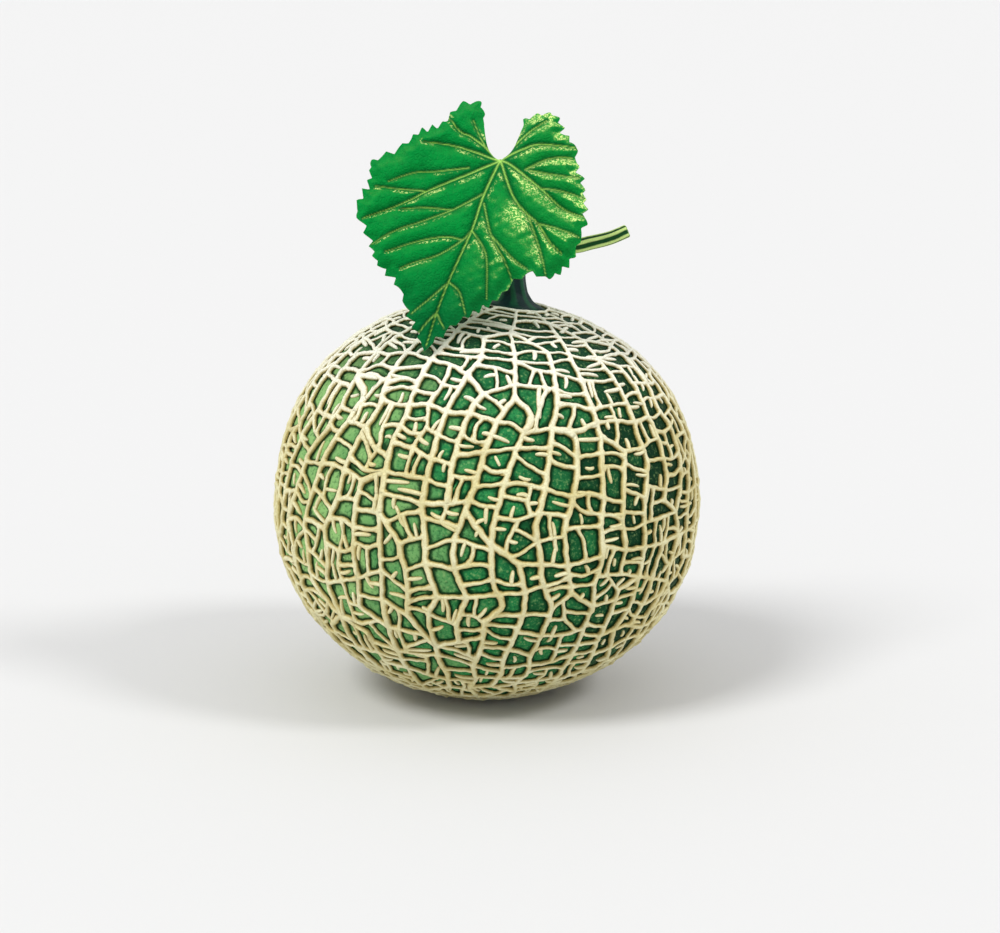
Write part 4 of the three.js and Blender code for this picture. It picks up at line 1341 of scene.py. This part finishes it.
MAIN_VEINS = [
    MIDRIB,
    [(0, 0), (-12.5, 6), (-24.5, 11.5), (-30.5, 15), (-45.5, 21.5)],
    [(0, 0), (-6.5, -2), (-16, -5), (-25.5, -6)],
    [(0, 0), (-9.5, -8), (-13.5, -10), (-18, -16)],
    [(0, 0), (4.5, 2.5), (13.5, 10.5), (20.5, 17.5), (28.5, 21.5)],
    [(0, 0), (4, 12.5), (8, 18.5), (12.5, 23), (16, 29), (20, 33.5)],
    [(0, 0), (7, -3.5), (13.5, -5.5), (26, -4)],
    [(0, 0), (6.5, -7), (11, -11), (15.5, -14)],
]
SIDE_VEINS = [
    [(-25, 11.5), (-34, 11), (-41.5, 10)],
    [(-10.5, 3), (-20.5, 4.5), (-28.5, 5), (-37, 8.5)],
    [(0, 0), (-5.5, -5.5), (-7.5, -10), (-9, -14)],
    [(-5.5, 12), (-9.5, 14.5), (-16, 18), (-26.5, 22.5), (-33.5, 25), (-42.5, 30)],
    [(-9.5, 25), (-12.5, 28.5), (-20, 33.5), (-28.5, 36.5), (-33, 38.5)],
    [(-17, 43), (-22.5, 48), (-29.5, 54)],
    [(-21, 53.5), (-24.5, 57), (-27, 60)],
    [(9, 19.5), (13, 32), (15, 41.5)],
    [(-5.5, 15.5), (-3, 27), (1, 35), (4, 42.5)],
    [(-3, 27), (4, 35), (8.5, 38.5)],
    [(-9.5, 25), (-6, 30.5), (-4.5, 35.5), (-4.5, 49)],
    [(-17, 43), (-13.5, 46.5), (-11.5, 54)],
    [(-21, 53.5), (-18.5, 59)],
    [(8.5, 3.5), (16, 0), (24, -0.5)],
    [(10, 4), (19, 6), (26, 7)],
    [(13.5, 10.5), (19.5, 11.5), (27.5, 14)],
    [(12.5, 23), (19, 25), (26, 28)],
    [(-16, 18), (-24, 17.5), (-33, 18)],
    [(-12.5, 28.5), (-18, 27.5), (-27, 29), (-38, 33)],
]


def flat_route(route, steps):
    """A smooth route on the plan of the leaf."""
    return smooth_route([(*spot, 0) for spot in route], steps)[:, :2]


def to_segment(spots, a, b):
    """The distance from each flat spot to the straight piece from a to b."""
    along = b - a
    share = np.clip((spots - a) @ along / (along @ along), 0, 1)
    return np.linalg.norm(spots - a - share[:, None] * along, axis=1)


def leaf_edge():
    """The toothed edge: teeth that point to the tip, and none beside the petiole or at the tip."""
    tip = LEAF_OUTLINE.index(LEAF_TIP)
    halves = (LEAF_OUTLINE[:tip + 1], LEAF_OUTLINE[tip:])
    route = np.concatenate([flat_route(half, EDGE_STEPS)[:-1] for half in halves])
    steps = np.roll(route, -1, axis=0) - route
    lengths = np.linalg.norm(steps, axis=1)
    along = np.cumsum(lengths) - lengths
    total = lengths.sum()
    teeth = round(total / TOOTH_SPACING)
    phase = (along / total * teeth + 0.3 * np.sin(along * 0.21)) % 1
    tooth = np.where(phase < TOOTH_LEAN, phase / TOOTH_LEAN, (1 - phase) / (1 - TOOTH_LEAN)) - TOOTH_LEVEL
    off_stalk = smoothstep(np.minimum(along, total - along), 0.6 * TOOTHLESS, TOOTHLESS)
    off_tip = smoothstep(np.linalg.norm(route - LEAF_TIP, axis=1), 1.5, 7)
    size = 0.72 + 0.28 * np.sin(along * 0.37 + 1)
    out = unit_rows(np.stack([steps[:, 1], -steps[:, 0]], axis=1))
    edge = route + out * (tooth * TOOTH_DEPTH * size * off_stalk * off_tip)[:, None]
    even = np.linspace(0, total, round(total / LEAF_STEP), endpoint=False)
    return edge[np.union1d(np.searchsorted(along, even), [EDGE_STEPS])]


def vein_distance(spots, veins, root_width, tip_width):
    """Distance to the nearest of some veins, in that vein's own half widths, which shrink."""
    best = np.full(len(spots), FAR_OFF)
    for vein in veins:
        line = flat_route(vein, VEIN_STEPS)
        pieces = max(2, round(step_lengths(line).sum() / VEIN_STEP))
        line = line[np.linspace(0, VEIN_STEPS, pieces + 1).astype(int)]
        widths = np.linspace(root_width, tip_width, len(line))
        for a, b, width in zip(line, line[1:], widths):
            best = np.minimum(best, to_segment(spots, a, b) / width)
    return best


print(len(MAIN_VEINS), "main veins and", len(SIDE_VEINS), "side veins")

# %% [markdown]
# The blade's spots are a fine grid inside the edge. Blender's Delaunay function triangulates
# grid and edge together. The same triangles serve the front and the back, a thin strip joins
# them round the edge, and every spot is lifted off the flat plan by the leaf's fold, its arch,
# its waves, and the swelling between its veins.

# %% The blade
LEAF_THICKNESS = 0.62
ROW_SHARE = 0.87
CLEAR_SHARE = 0.4
FOLD_RISE = 0.16
FOLD_ROUND = 3
ARCH_RISE = 3
LOBE_DROP = 0.011
WAVE_RISE = 0.9
MAIN_VEIN_WIDTHS = (1.1, 0.42)
SIDE_VEIN_WIDTHS = (0.5, 0.28)
MAIN_GROOVE, SIDE_GROOVE = 0.3, 0.18
VEIN_RELIEF = 0.45
SWELL_RISE = 2.3
SWELL_REACH = 3.6
PEBBLE_RISE = 0.12
FRILL_RISE = 0.7
SWELL_EDGE, PEBBLE_EDGE, FRILL_EDGE = 4, 2, 6
PEBBLE_SIZE = 3.1
PEBBLE_SEED = 21
LEAF_SINK = 1.0
SLIDE = 0.22
LEAF_ACROSS = np.array([1.0, 0.0, 0.0])
LEAF_DOWN = np.array([0.0, -math.sin(LEAF_PITCH), -math.cos(LEAF_PITCH)])
LEAF_FRONT = np.array([0.0, -math.cos(LEAF_PITCH), math.sin(LEAF_PITCH)])


def leaf_rise(spots):
    """The large form: folded on the midrib, arched from the joint to the tip, and waved."""
    x, y = spots.T
    tip_x, tip_y = LEAF_TIP
    aside = (x * tip_y - y * tip_x) / math.hypot(tip_x, tip_y)
    fold = FOLD_RISE * (np.hypot(aside, FOLD_ROUND) - FOLD_ROUND)
    arch = np.where(y > 0, ARCH_RISE * np.sin(math.pi * y / tip_y), -LOBE_DROP * y * y)
    wave = WAVE_RISE * np.sin(0.33 * x + 1) * np.sin(0.27 * y) * np.minimum(1, np.abs(aside) / 20)
    return fold + arch + wave, aside


def edge_gap(spots, edge):
    """How far each flat spot is from the edge."""
    gap = np.full(len(spots), FAR_OFF)
    for a, b in zip(edge, np.roll(edge, -1, axis=0)):
        gap = np.minimum(gap, to_segment(spots, a, b))
    return gap


def within(spots, edge):
    """Whether each flat spot is inside the edge, which a ray from it then crosses an odd number of times."""
    x, y = spots.T
    inside = np.zeros(len(spots), dtype=bool)
    for (ax, ay), (bx, by) in zip(edge, np.roll(edge, -1, axis=0)):
        if ay != by:
            inside ^= ((ay > y) != (by > y)) & (x < (bx - ax) * (y - ay) / (by - ay) + ax)
    return inside


def blade_plan(edge):
    """The flat spots of the blade, its triangles with their fronts all one way, and its border."""
    low, high = edge.min(axis=0), edge.max(axis=0)
    rows = np.arange(low[1], high[1], LEAF_STEP * ROW_SHARE)
    xs, ys = np.meshgrid(np.arange(low[0], high[0], LEAF_STEP), rows)
    xs = xs + (np.arange(len(xs)) % 2)[:, None] * LEAF_STEP / 2
    grid = np.stack([xs.ravel(), ys.ravel()], axis=1)
    clear = within(grid, edge) & (edge_gap(grid, edge) > CLEAR_SHARE * LEAF_STEP)
    spots = [Vector(spot) for spot in (*edge.tolist(), *grid[clear].tolist())]
    border = [(i, (i + 1) % len(edge)) for i in range(len(edge))]
    flat, _, found, *_ = delaunay_2d_cdt(spots, border, [], 1, TOUCHING)
    flat = np.array([tuple(spot) for spot in flat])
    clockwise = sum(turn_of(edge[i - 1], edge[i]) for i in range(len(edge))) < 0
    border = border if clockwise else [(j, i) for i, j in border]
    triangles = []
    for a, b, c in found:
        turn = turn_of(flat[b] - flat[a], flat[c] - flat[a])
        triangles.append((a, b, c) if turn < 0 else (a, c, b))
    return flat, triangles, border


def on_vein(distance, width):
    """1 on a vein, falling to 0 beside it."""
    return np.exp(-(distance / width) ** 2)


def build_leaf():
    edge = leaf_edge()
    spots, triangles, border = blade_plan(edge)
    count = len(spots)
    rise, aside = leaf_rise(spots)
    main = vein_distance(spots, MAIN_VEINS, *MAIN_VEIN_WIDTHS)
    side = vein_distance(spots, SIDE_VEINS, *SIDE_VEIN_WIDTHS)
    gap = edge_gap(spots, edge)
    groove = MAIN_GROOVE * on_vein(main, 0.7) + SIDE_GROOVE * on_vein(side, 0.8)
    between_veins = np.tanh(np.minimum(main * 0.8, side * 0.45 + 0.5) / SWELL_REACH)
    swell = SWELL_RISE * between_veins * smoothstep(gap, 0, SWELL_EDGE)
    pebble = PEBBLE_RISE * ripple(np.column_stack([spots, np.zeros(count)]), PEBBLE_SIZE, PEBBLE_SEED)
    pebble *= smoothstep(gap, 0, PEBBLE_EDGE)
    frill = FRILL_RISE * np.sin(spots[:, 0] * 0.45 + spots[:, 1] * 0.38)
    frill *= 1 - smoothstep(gap, 0, FRILL_EDGE)
    lift = rise + swell + pebble + frill - LEAF_SINK - groove
    front_lift = lift + LEAF_THICKNESS / 2
    back_lift = lift - LEAF_THICKNESS / 2 - VEIN_RELIEF * on_vein(main, 1.2)
    down = spots[:, 1:] + SLIDE * rise[:, None]
    plan_places = LEAF_JOINT + spots[:, :1] * LEAF_ACROSS + down * LEAF_DOWN
    sides = [plan_places + lift[:, None] * LEAF_FRONT for lift in (front_lift, back_lift)]
    faces = []
    for a, b, c in triangles:
        faces += [(a, b, c), (count + a, count + c, count + b)]
    faces += [(i, count + i, count + j, j) for i, j in border]
    marks = {
        "vein": np.maximum(on_vein(main, 0.26), 0.75 * on_vein(side, 0.42)),
        "near_vein": np.exp(-np.minimum(main / 1.4, side / 2) ** 1.5),
        "aside": aside,
    }
    marks = {mark: np.tile(values, 2) for mark, values in marks.items()}
    marks["back"] = np.repeat([0, 1], count)
    return np.concatenate(sides), faces, marks


leaf_blade = make_mesh("leaf_blade", *build_leaf(), sharp_deg=60)

# %% [markdown]
# The petiole carries the leaf. It is a thin grooved rod that bends forward from the stalk to
# the joint behind the blade.

# %% The petiole
PETIOLE_RADIUS = 1.45
ROOT_SWELL, ROOT_SHARE = 0.75, 0.1
TIP_SWELL, TIP_SHARE = 0.35, 0.06
PETIOLE_SIDES = 36
PETIOLE_RIBS = 5
PETIOLE_RIB_DEPTH = 0.13
PETIOLE_ROUTE = [
    (9, 0.4, 94), (9, 2.5, 100), (8.5, 2.5, 107), (7.5, -3, 115), (6, -10.5, 120), (4.9, -15.2, 121.5),
]


def build_petiole():
    line = smooth_route(PETIOLE_ROUTE, 70)
    shares = np.linspace(0, 1, len(line))
    radii = PETIOLE_RADIUS + ROOT_SWELL * np.exp(-shares / ROOT_SHARE)
    radii += TIP_SWELL * np.exp(-(1 - shares) / TIP_SHARE)
    places, faces = rod(line, radii, PETIOLE_SIDES)
    rib = 0.5 + 0.5 * np.cos(PETIOLE_RIBS * np.tile(all_round(PETIOLE_SIDES), len(line)))
    centres = np.repeat(line, PETIOLE_SIDES, axis=0)
    places = centres + (places - centres) * (1 + PETIOLE_RIB_DEPTH * (rib - RIB_LEVEL))[:, None]
    return places, faces, {"rib": rib}


petiole = make_mesh("petiole", *build_petiole(), sharp_deg=60)

# %% [markdown]
# Every piece rides on the one body of this part, and says which finish it takes. Four of them
# also say which plain solid they take the place of. The spurs and the petiole come on top.

# %% Tie the pieces to the plain solids
for piece, node, finish in (
    (rind, "fruit", "rind"), (ridge_net, "net", "cork"), (ridge_spurs, None, "cork"),
    (stem_piece, "stem", "vine"), (leaf_blade, "leaf", "leaf"), (petiole, None, "vine"),
):
    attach(piece, "root")
    if node:
        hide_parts(node)
    print(piece.name, "takes the", finish, "finish and the place of", node or "no solid")

# %% [markdown]
# Finishes are node trees. Writing them as Python expressions keeps them readable: a Socket
# wraps one output of a node, and arithmetic on it adds Math nodes. A Finish holds one
# material and makes every other kind of node with one method.

# %% Node trees as expressions
class Socket:
    """One output of a node. Arithmetic on it adds Math nodes to its finish."""

    def __init__(self, finish, output):
        self.finish = finish
        self.output = output

    def math(self, operation, *values):
        return self.finish.node("ShaderNodeMath", {"operation": operation}, dict(enumerate(values)))

    def __add__(self, other):
        return self.math("ADD", self, other)

    def __radd__(self, other):
        return self.math("ADD", other, self)

    def __sub__(self, other):
        return self.math("SUBTRACT", self, other)

    def __rsub__(self, other):
        return self.math("SUBTRACT", other, self)

    def __mul__(self, other):
        return self.math("MULTIPLY", self, other)

    def __rmul__(self, other):
        return self.math("MULTIPLY", other, self)

    def between(self, low, high):
        """A smooth step from 0 at low to 1 at high."""
        settings = {"interpolation_type": "SMOOTHSTEP"}
        values = {"Value": self, "From Min": low, "From Max": high}
        return self.finish.node("ShaderNodeMapRange", settings, values)


class Finish:
    """A material, and the means to build its node tree."""

    def __init__(self, name):
        self.material = bpy.data.materials.new(name)
        self.material.use_nodes = True
        self.tree = self.material.node_tree
        self.shader = next(node for node in self.tree.nodes if node.type == "BSDF_PRINCIPLED")

    def node(self, kind, settings=None, values=None, output=0):
        """Any node: its settings first, then the values or links of its sockets."""
        node = self.tree.nodes.new(kind)
        for setting, value in (settings or {}).items():
            setattr(node, setting, value)
        for name, value in (values or {}).items():
            self.feed(node.inputs[name], value)
        return Socket(self, node.outputs[output])

    def feed(self, into, value):
        if isinstance(value, Socket):
            self.tree.links.new(value.output, into)
        else:
            into.default_value = value

    def attribute(self, name):
        return self.node("ShaderNodeAttribute", {"attribute_name": name}, output="Fac")

    def place(self, stretch=(1, 1, 1)):
        """Where a spot is on the part, in millimetres, with each axis stretched."""
        where = self.node("ShaderNodeTexCoord", output="Object")
        scale = tuple(factor / MM for factor in stretch)
        return self.node("ShaderNodeVectorMath", {"operation": "MULTIPLY"}, {0: where, 1: scale})

    def noise(self, place, size, detail=3.0, roughness=0.55):
        values = {"Vector": place, "Scale": 1 / size, "Detail": detail, "Roughness": roughness}
        return self.node("ShaderNodeTexNoise", None, values)

    def specks(self, place, size):
        """The distance to the nearest of many scattered spots, a share of their spacing."""
        return self.node("ShaderNodeTexVoronoi", None, {"Vector": place, "Scale": 1 / size}, "Distance")

    def plates(self, place, size):
        """The distance to the edge of the plate that a spot is on, where plates fill the surface."""
        settings = {"feature": "DISTANCE_TO_EDGE"}
        return self.node("ShaderNodeTexVoronoi", settings, {"Vector": place, "Scale": 1 / size}, "Distance")

    def axis(self, vector, name):
        return self.node("ShaderNodeSeparateXYZ", None, {0: vector}, name)

    def mix(self, share, low, high):
        """A blend of two colours: low where the share is 0, high where it is 1.

        A Mix node has sockets for every kind of value. Inputs 6 and 7 are its colours, and
        output 2 is their blend.
        """
        low, high = (value if isinstance(value, Socket) else paint(value) for value in (low, high))
        return self.node("ShaderNodeMix", {"data_type": "RGBA"}, {0: share, 6: low, 7: high}, 2)

    def bump(self, height, distance, strength=1.0):
        values = {"Height": height, "Distance": distance * MM, "Strength": strength}
        return self.node("ShaderNodeBump", None, values)

    def set(self, **sockets):
        """Feeds the shader. An underscore in a name stands for a space."""
        for name, value in sockets.items():
            self.feed(self.shader.inputs[name.replace("_", " ")], value)

    def cover(self, *pieces):
        for piece in pieces:
            piece.data.materials.clear()
            piece.data.materials.append(self.material)
        print(self.material.name, "has", len(self.tree.nodes), "nodes")


def paint(colour):
    """A colour given from 0 to 255, as a picture shows it, in the linear numbers a shader needs."""
    shares = [channel / 255 for channel in colour]
    return (*[c / 12.92 if c < 0.04 else ((c + 0.055) / 1.055) ** 2.4 for c in shares], 1)


# %% [markdown]
# The rind is a waxy, mottled green with freckles. Painted light makes it pale and yellowish on
# the left, where the light falls, and painted shade makes it deep on the right. Painted shade
# also makes it almost black-green in the narrow creases beside the cork, and darkest of all
# round the stalk, under the leaf. Pairs such as ROUND_STALK are heights above the floor, in
# millimetres, between which one colour gives way to the next.

# %% The rind's finish
PAINTED_LIGHT_GREEN = (144, 190, 116)
RIND_GREEN = (38, 128, 70)
PAINTED_SHADE_GREEN = (6, 46, 26)
PAINTED_STALK_SHADOW_GREEN = (2, 40, 30)
PALE_MOTTLE = (142, 182, 112)
DEEP_MOTTLE = (8, 66, 34)
FLECK_GREEN = (168, 198, 128)
PAINTED_CREASE_SHADE_GREEN = (4, 44, 20)
ROUND_STALK = (108, 132)

skin = Finish("rind_finish")
where = skin.place()
cloud = skin.noise(where, 24)
tone = skin.attribute("tone") - 0.5
# Painted light and shade: lighter on the left, where the light falls, darker on the right.
shade = skin.axis(where, "X") + (cloud - 0.5) * 60 + tone * 26
green = skin.mix(shade.between(-66, 2), PAINTED_LIGHT_GREEN, RIND_GREEN)
green = skin.mix(shade.between(0, 56), green, PAINTED_SHADE_GREEN)
# Painted shadow of the leaf: the rind darkens towards the stalk.
green = skin.mix(skin.axis(where, "Z").between(*ROUND_STALK) * 0.9, green, PAINTED_STALK_SHADOW_GREEN)
mottle = skin.noise(where, 1.1, 4, 0.65)
green = skin.mix(mottle.between(0.52, 0.68) * 0.36, green, PALE_MOTTLE)
green = skin.mix((1 - mottle.between(0.36, 0.5)) * 0.5, green, DEEP_MOTTLE)
fleck = 1 - skin.specks(where, 2.1).between(0.12, 0.26)
green = skin.mix(fleck * 0.25, green, FLECK_GREEN)
# Painted shade: the rind turns almost black-green in the crease beside each ridge.
painted_crease_shade = skin.attribute("near_ridge").between(0.2, 0.85)
green = skin.mix(painted_crease_shade * 0.88, green, PAINTED_CREASE_SHADE_GREEN)
skin.set(Base_Color=green, Roughness=0.44 + mottle * 0.2)
skin.set(Normal=skin.bump(mottle + skin.noise(where, 0.45, 2) * 0.4, 0.3))
skin.shader.inputs["Specular IOR Level"].default_value = 0.06
skin.cover(rind)

# %% [markdown]
# Cork is dry and matt. Its crest has weathered to a pale cream, its flanks keep a golden tan,
# and its foot takes on the green of the rind, darkened by painted crease shade. Fine cracks
# and grain break it up. Painted light whitens it towards the top, most of all round the stalk.

# %% The cork's finish
TAN_CREAM = (226, 216, 160)
CREAM = (242, 238, 196)
PAINTED_TOP_LIGHT = (255, 254, 236)
FOOT_GREEN_AND_CREASE_SHADE = (34, 70, 26)
GOLDEN_TAN = (188, 168, 102)
CRACK_TAN = (178, 148, 90)
UPPER_FRUIT = (92, 126)

cork = Finish("cork_finish")
where = cork.place()
crest = cork.attribute("crest")
grain = cork.noise(where, 0.6, 4, 0.65)
patches = cork.noise(where, 9, 2)
pale = cork.mix(patches.between(0.3, 0.7), TAN_CREAM, CREAM)
height = cork.axis(where, "Z")
# Painted light: the cork whitens towards the top of the fruit.
pale = cork.mix(height.between(*UPPER_FRUIT), pale, PAINTED_TOP_LIGHT)
level = crest + (grain - 0.5) * 0.35
# The foot is rind green, darkened as painted crease shade.
body = cork.mix(level.between(0.08, 0.4), FOOT_GREEN_AND_CREASE_SHADE, GOLDEN_TAN)
body = cork.mix(level.between(0.34, 0.84), body, pale)
# Painted light: still more white on the ridges round the stalk.
body = cork.mix(height.between(*ROUND_STALK) * level.between(0.25, 0.5) * 0.75, body, PAINTED_TOP_LIGHT)
cracks = 1 - cork.plates(where, 1.1).between(0.0, 0.09)
body = cork.mix(cracks * 0.14, body, CRACK_TAN)
cork.set(Base_Color=body, Roughness=0.72 + grain * 0.16)
cork.set(Normal=cork.bump(grain - cracks * 0.25, 0.35))
cork.shader.inputs["Specular IOR Level"].default_value = 0.1
cork.cover(ridge_net, ridge_spurs)

# %% [markdown]
# The vine is deep green in its grooves and yellow-green on its ribs. The stalk and its flared
# foot are almost blue-green all over, and dark partly as painted shade under the leaf. The
# vine's cut end shows pale, wet pith.

# %% The stem's finish
GROOVE_GREEN = (4, 70, 26)
RIB_YELLOW = (206, 232, 140)
STALK_GREEN_AND_SHADE = (6, 40, 40)
STALK_RIB_GREEN_AND_SHADE = (22, 80, 54)
PITH = (226, 226, 172)
PITH_RIM = (120, 164, 84)

vine = Finish("vine_finish")
fibres = vine.noise(vine.place((0.25, 1, 1)), 0.8, 3)
rib = vine.attribute("rib") + (fibres - 0.5) * 0.4
foot = vine.attribute("foot")
vine_green = vine.mix(rib.between(0.35, 0.85), GROOVE_GREEN, RIB_YELLOW)
# Blue-green stalk, darkened as painted shade under the leaf.
stalk_green_and_shade = vine.mix(rib.between(0.3, 0.95), STALK_GREEN_AND_SHADE, STALK_RIB_GREEN_AND_SHADE)
stem_green = vine.mix(foot, vine_green, stalk_green_and_shade)
pith = vine.mix(vine.attribute("cut_radius").between(0.35, 0.9), PITH, PITH_RIM)
stem_green = vine.mix(vine.attribute("cut"), stem_green, pith)
vine.set(Base_Color=stem_green, Roughness=0.42 + fibres * 0.2)
vine.set(Normal=vine.bump(fibres, 0.25))
vine.shader.inputs["Specular IOR Level"].default_value = 0.18
vine.cover(stem_piece, petiole)

# %% [markdown]
# The leaf's upper face is deep emerald. Painted light makes it a little yellower on the half
# that faces the light, and lighter where the blade faces up. A thin pale line runs in each
# vein, in a valley darkened by painted shade. Where the green swells up beside a vein it
# carries painted glints of bright yellow-green, most of all on that lighter half. Towards the
# tip the blade is darker, and its back is paler and duller all over.

# %% The leaf's finish
LEFT_GREEN = (1, 134, 54)
RIGHT_GREEN = (8, 130, 50)
TIP_GREEN = (1, 84, 46)
BLOTCH_GREEN = (1, 100, 42)
PAINTED_SKY_LIGHT_GREEN = (92, 184, 78)
PAINTED_GLINT_YELLOW = (226, 248, 150)
PAINTED_VALLEY_SHADE_GREEN = (1, 66, 32)
VEIN_GREEN = (172, 226, 104)
BACK_GREEN = (112, 168, 98)
UPPER_BLADE = (128, 164)

leaf = Finish("leaf_finish")
where = leaf.place()
blotch = leaf.noise(where, 7, 3)
# The right half, which faces the light, takes more painted light and painted glints below.
half = (leaf.attribute("aside") + (blotch - 0.5) * 14).between(-2, 13)
blade = leaf.mix(half, LEFT_GREEN, RIGHT_GREEN)
low = 1 - leaf.axis(where, "Z").between(*UPPER_BLADE)
blade = leaf.mix(low * 0.75, blade, TIP_GREEN)
blade = leaf.mix(leaf.noise(where, 2.2, 3).between(0.4, 0.75) * 0.35, blade, BLOTCH_GREEN)
# Painted light: lighter green where the blade faces up.
upward = leaf.axis(leaf.node("ShaderNodeNewGeometry", output="Normal"), "Z")
patch = leaf.noise(where, 11, 2).between(0.4, 0.62)
painted_sky_light = (upward + (blotch - 0.5) * 0.5).between(0.32, 0.85) * (0.12 + half * 0.88) * (1 - low * 0.8)
blade = leaf.mix(painted_sky_light * (0.25 + patch * 0.4), blade, PAINTED_SKY_LIGHT_GREEN)
near_vein = leaf.attribute("near_vein")
beside_vein = near_vein.between(0.01, 0.12) * (1 - near_vein.between(0.3, 0.6))
# Painted glints: yellow-green specks on the swellings beside the veins and where the blade faces up.
lit_bank = beside_vein * upward.between(0.44, 0.66) * blotch.between(0.4, 0.56)
painted_glint_share = painted_sky_light * (0.35 + patch * 0.65) + lit_bank * 0.5
painted_glint = leaf.noise(where, 0.7, 3, 0.75).between(0.49, 0.58) * painted_glint_share.between(0.05, 0.75)
blade = leaf.mix(painted_glint, blade, PAINTED_GLINT_YELLOW)
# Painted shade: dark green in the valleys beside the veins.
blade = leaf.mix(near_vein * 0.85, blade, PAINTED_VALLEY_SHADE_GREEN)
blade = leaf.mix(leaf.attribute("vein") * 0.9, blade, VEIN_GREEN)
blade = leaf.mix(leaf.attribute("back") * 0.6, blade, BACK_GREEN)
leaf.set(Base_Color=blade, Roughness=0.34 + blotch * 0.2)
cushions = leaf.plates(where, 1.3).between(0, 0.3)
leaf.set(Normal=leaf.bump(cushions + leaf.noise(where, 0.5, 2) * 0.3, 0.15))
leaf.shader.inputs["Specular IOR Level"].default_value = 0.04
leaf.cover(leaf_blade)

# %% [markdown]
# The stage is a pale floor under plain soft light. A broad sun from the upper left front
# gives the key, a weaker one from the upper right lights the other flank and what the leaf
# would shade, and the bright surroundings fill the rest.

# %% Floor and light
FLOOR_REACH = 30
FLOOR_GREY = (219, 219, 219)
SUNS = {
    "key_light": {"towards": (0.6, 0.55, -0.95), "energy": 1.75, "width": math.radians(20)},
    "side_light": {"towards": (-0.75, 0.35, -0.8), "energy": 1.0, "width": math.radians(14)},
}
SURROUNDINGS = 0.66


def facing(towards):
    """The turn of a lamp or a camera that looks along a direction."""
    return Vector(towards).to_track_quat("-Z", "Y").to_euler()


floor_mesh = bpy.data.meshes.new("floor")
floor_corners = [(x * FLOOR_REACH, y * FLOOR_REACH, 0) for x, y in ((-1, -1), (1, -1), (1, 1), (-1, 1))]
floor_mesh.from_pydata(floor_corners, [], [(0, 1, 2, 3)])
floor = add_object("floor", floor_mesh)
floor_finish = Finish("floor_finish")
floor_finish.set(Base_Color=paint(FLOOR_GREY), Roughness=0.8)
floor_finish.cover(floor)
for name, sun in SUNS.items():
    lamp = add_object(name, bpy.data.lights.new(name, "SUN"))
    lamp.rotation_euler = facing(sun["towards"])
    lamp.data.energy = sun["energy"]
    lamp.data.angle = sun["width"]
world = bpy.data.worlds.new("studio")
world.use_nodes = True
background = world.node_tree.nodes["Background"]
background.inputs["Color"].default_value = (1, 1, 1, 1)
background.inputs["Strength"].default_value = SURROUNDINGS
bpy.context.scene.world = world
bpy.context.scene.view_settings.view_transform = "Standard"

# %% [markdown]
# The camera looks a little down at the fruit from the front. Its distance and lens make the
# fruit as wide in the picture as it was to the eye.

# %% Camera
CAMERA_AIM = MIDDLE + (4.8, 2.97, 13.99)
CAMERA_ELEVATION = math.radians(12)
CAMERA_DISTANCE = 833
CAMERA_LENS = 85
SENSOR_WIDTH = 36

away = np.array([0, -math.cos(CAMERA_ELEVATION), math.sin(CAMERA_ELEVATION)])
camera = add_object("camera", bpy.data.cameras.new("camera"))
camera.data.lens = CAMERA_LENS
camera.data.sensor_width = SENSOR_WIDTH
camera.location = (CAMERA_AIM + away * CAMERA_DISTANCE) * MM
camera.rotation_euler = facing(-away)
bpy.context.scene.camera = camera
print("the camera is at", [round(coordinate, 3) for coordinate in camera.location])
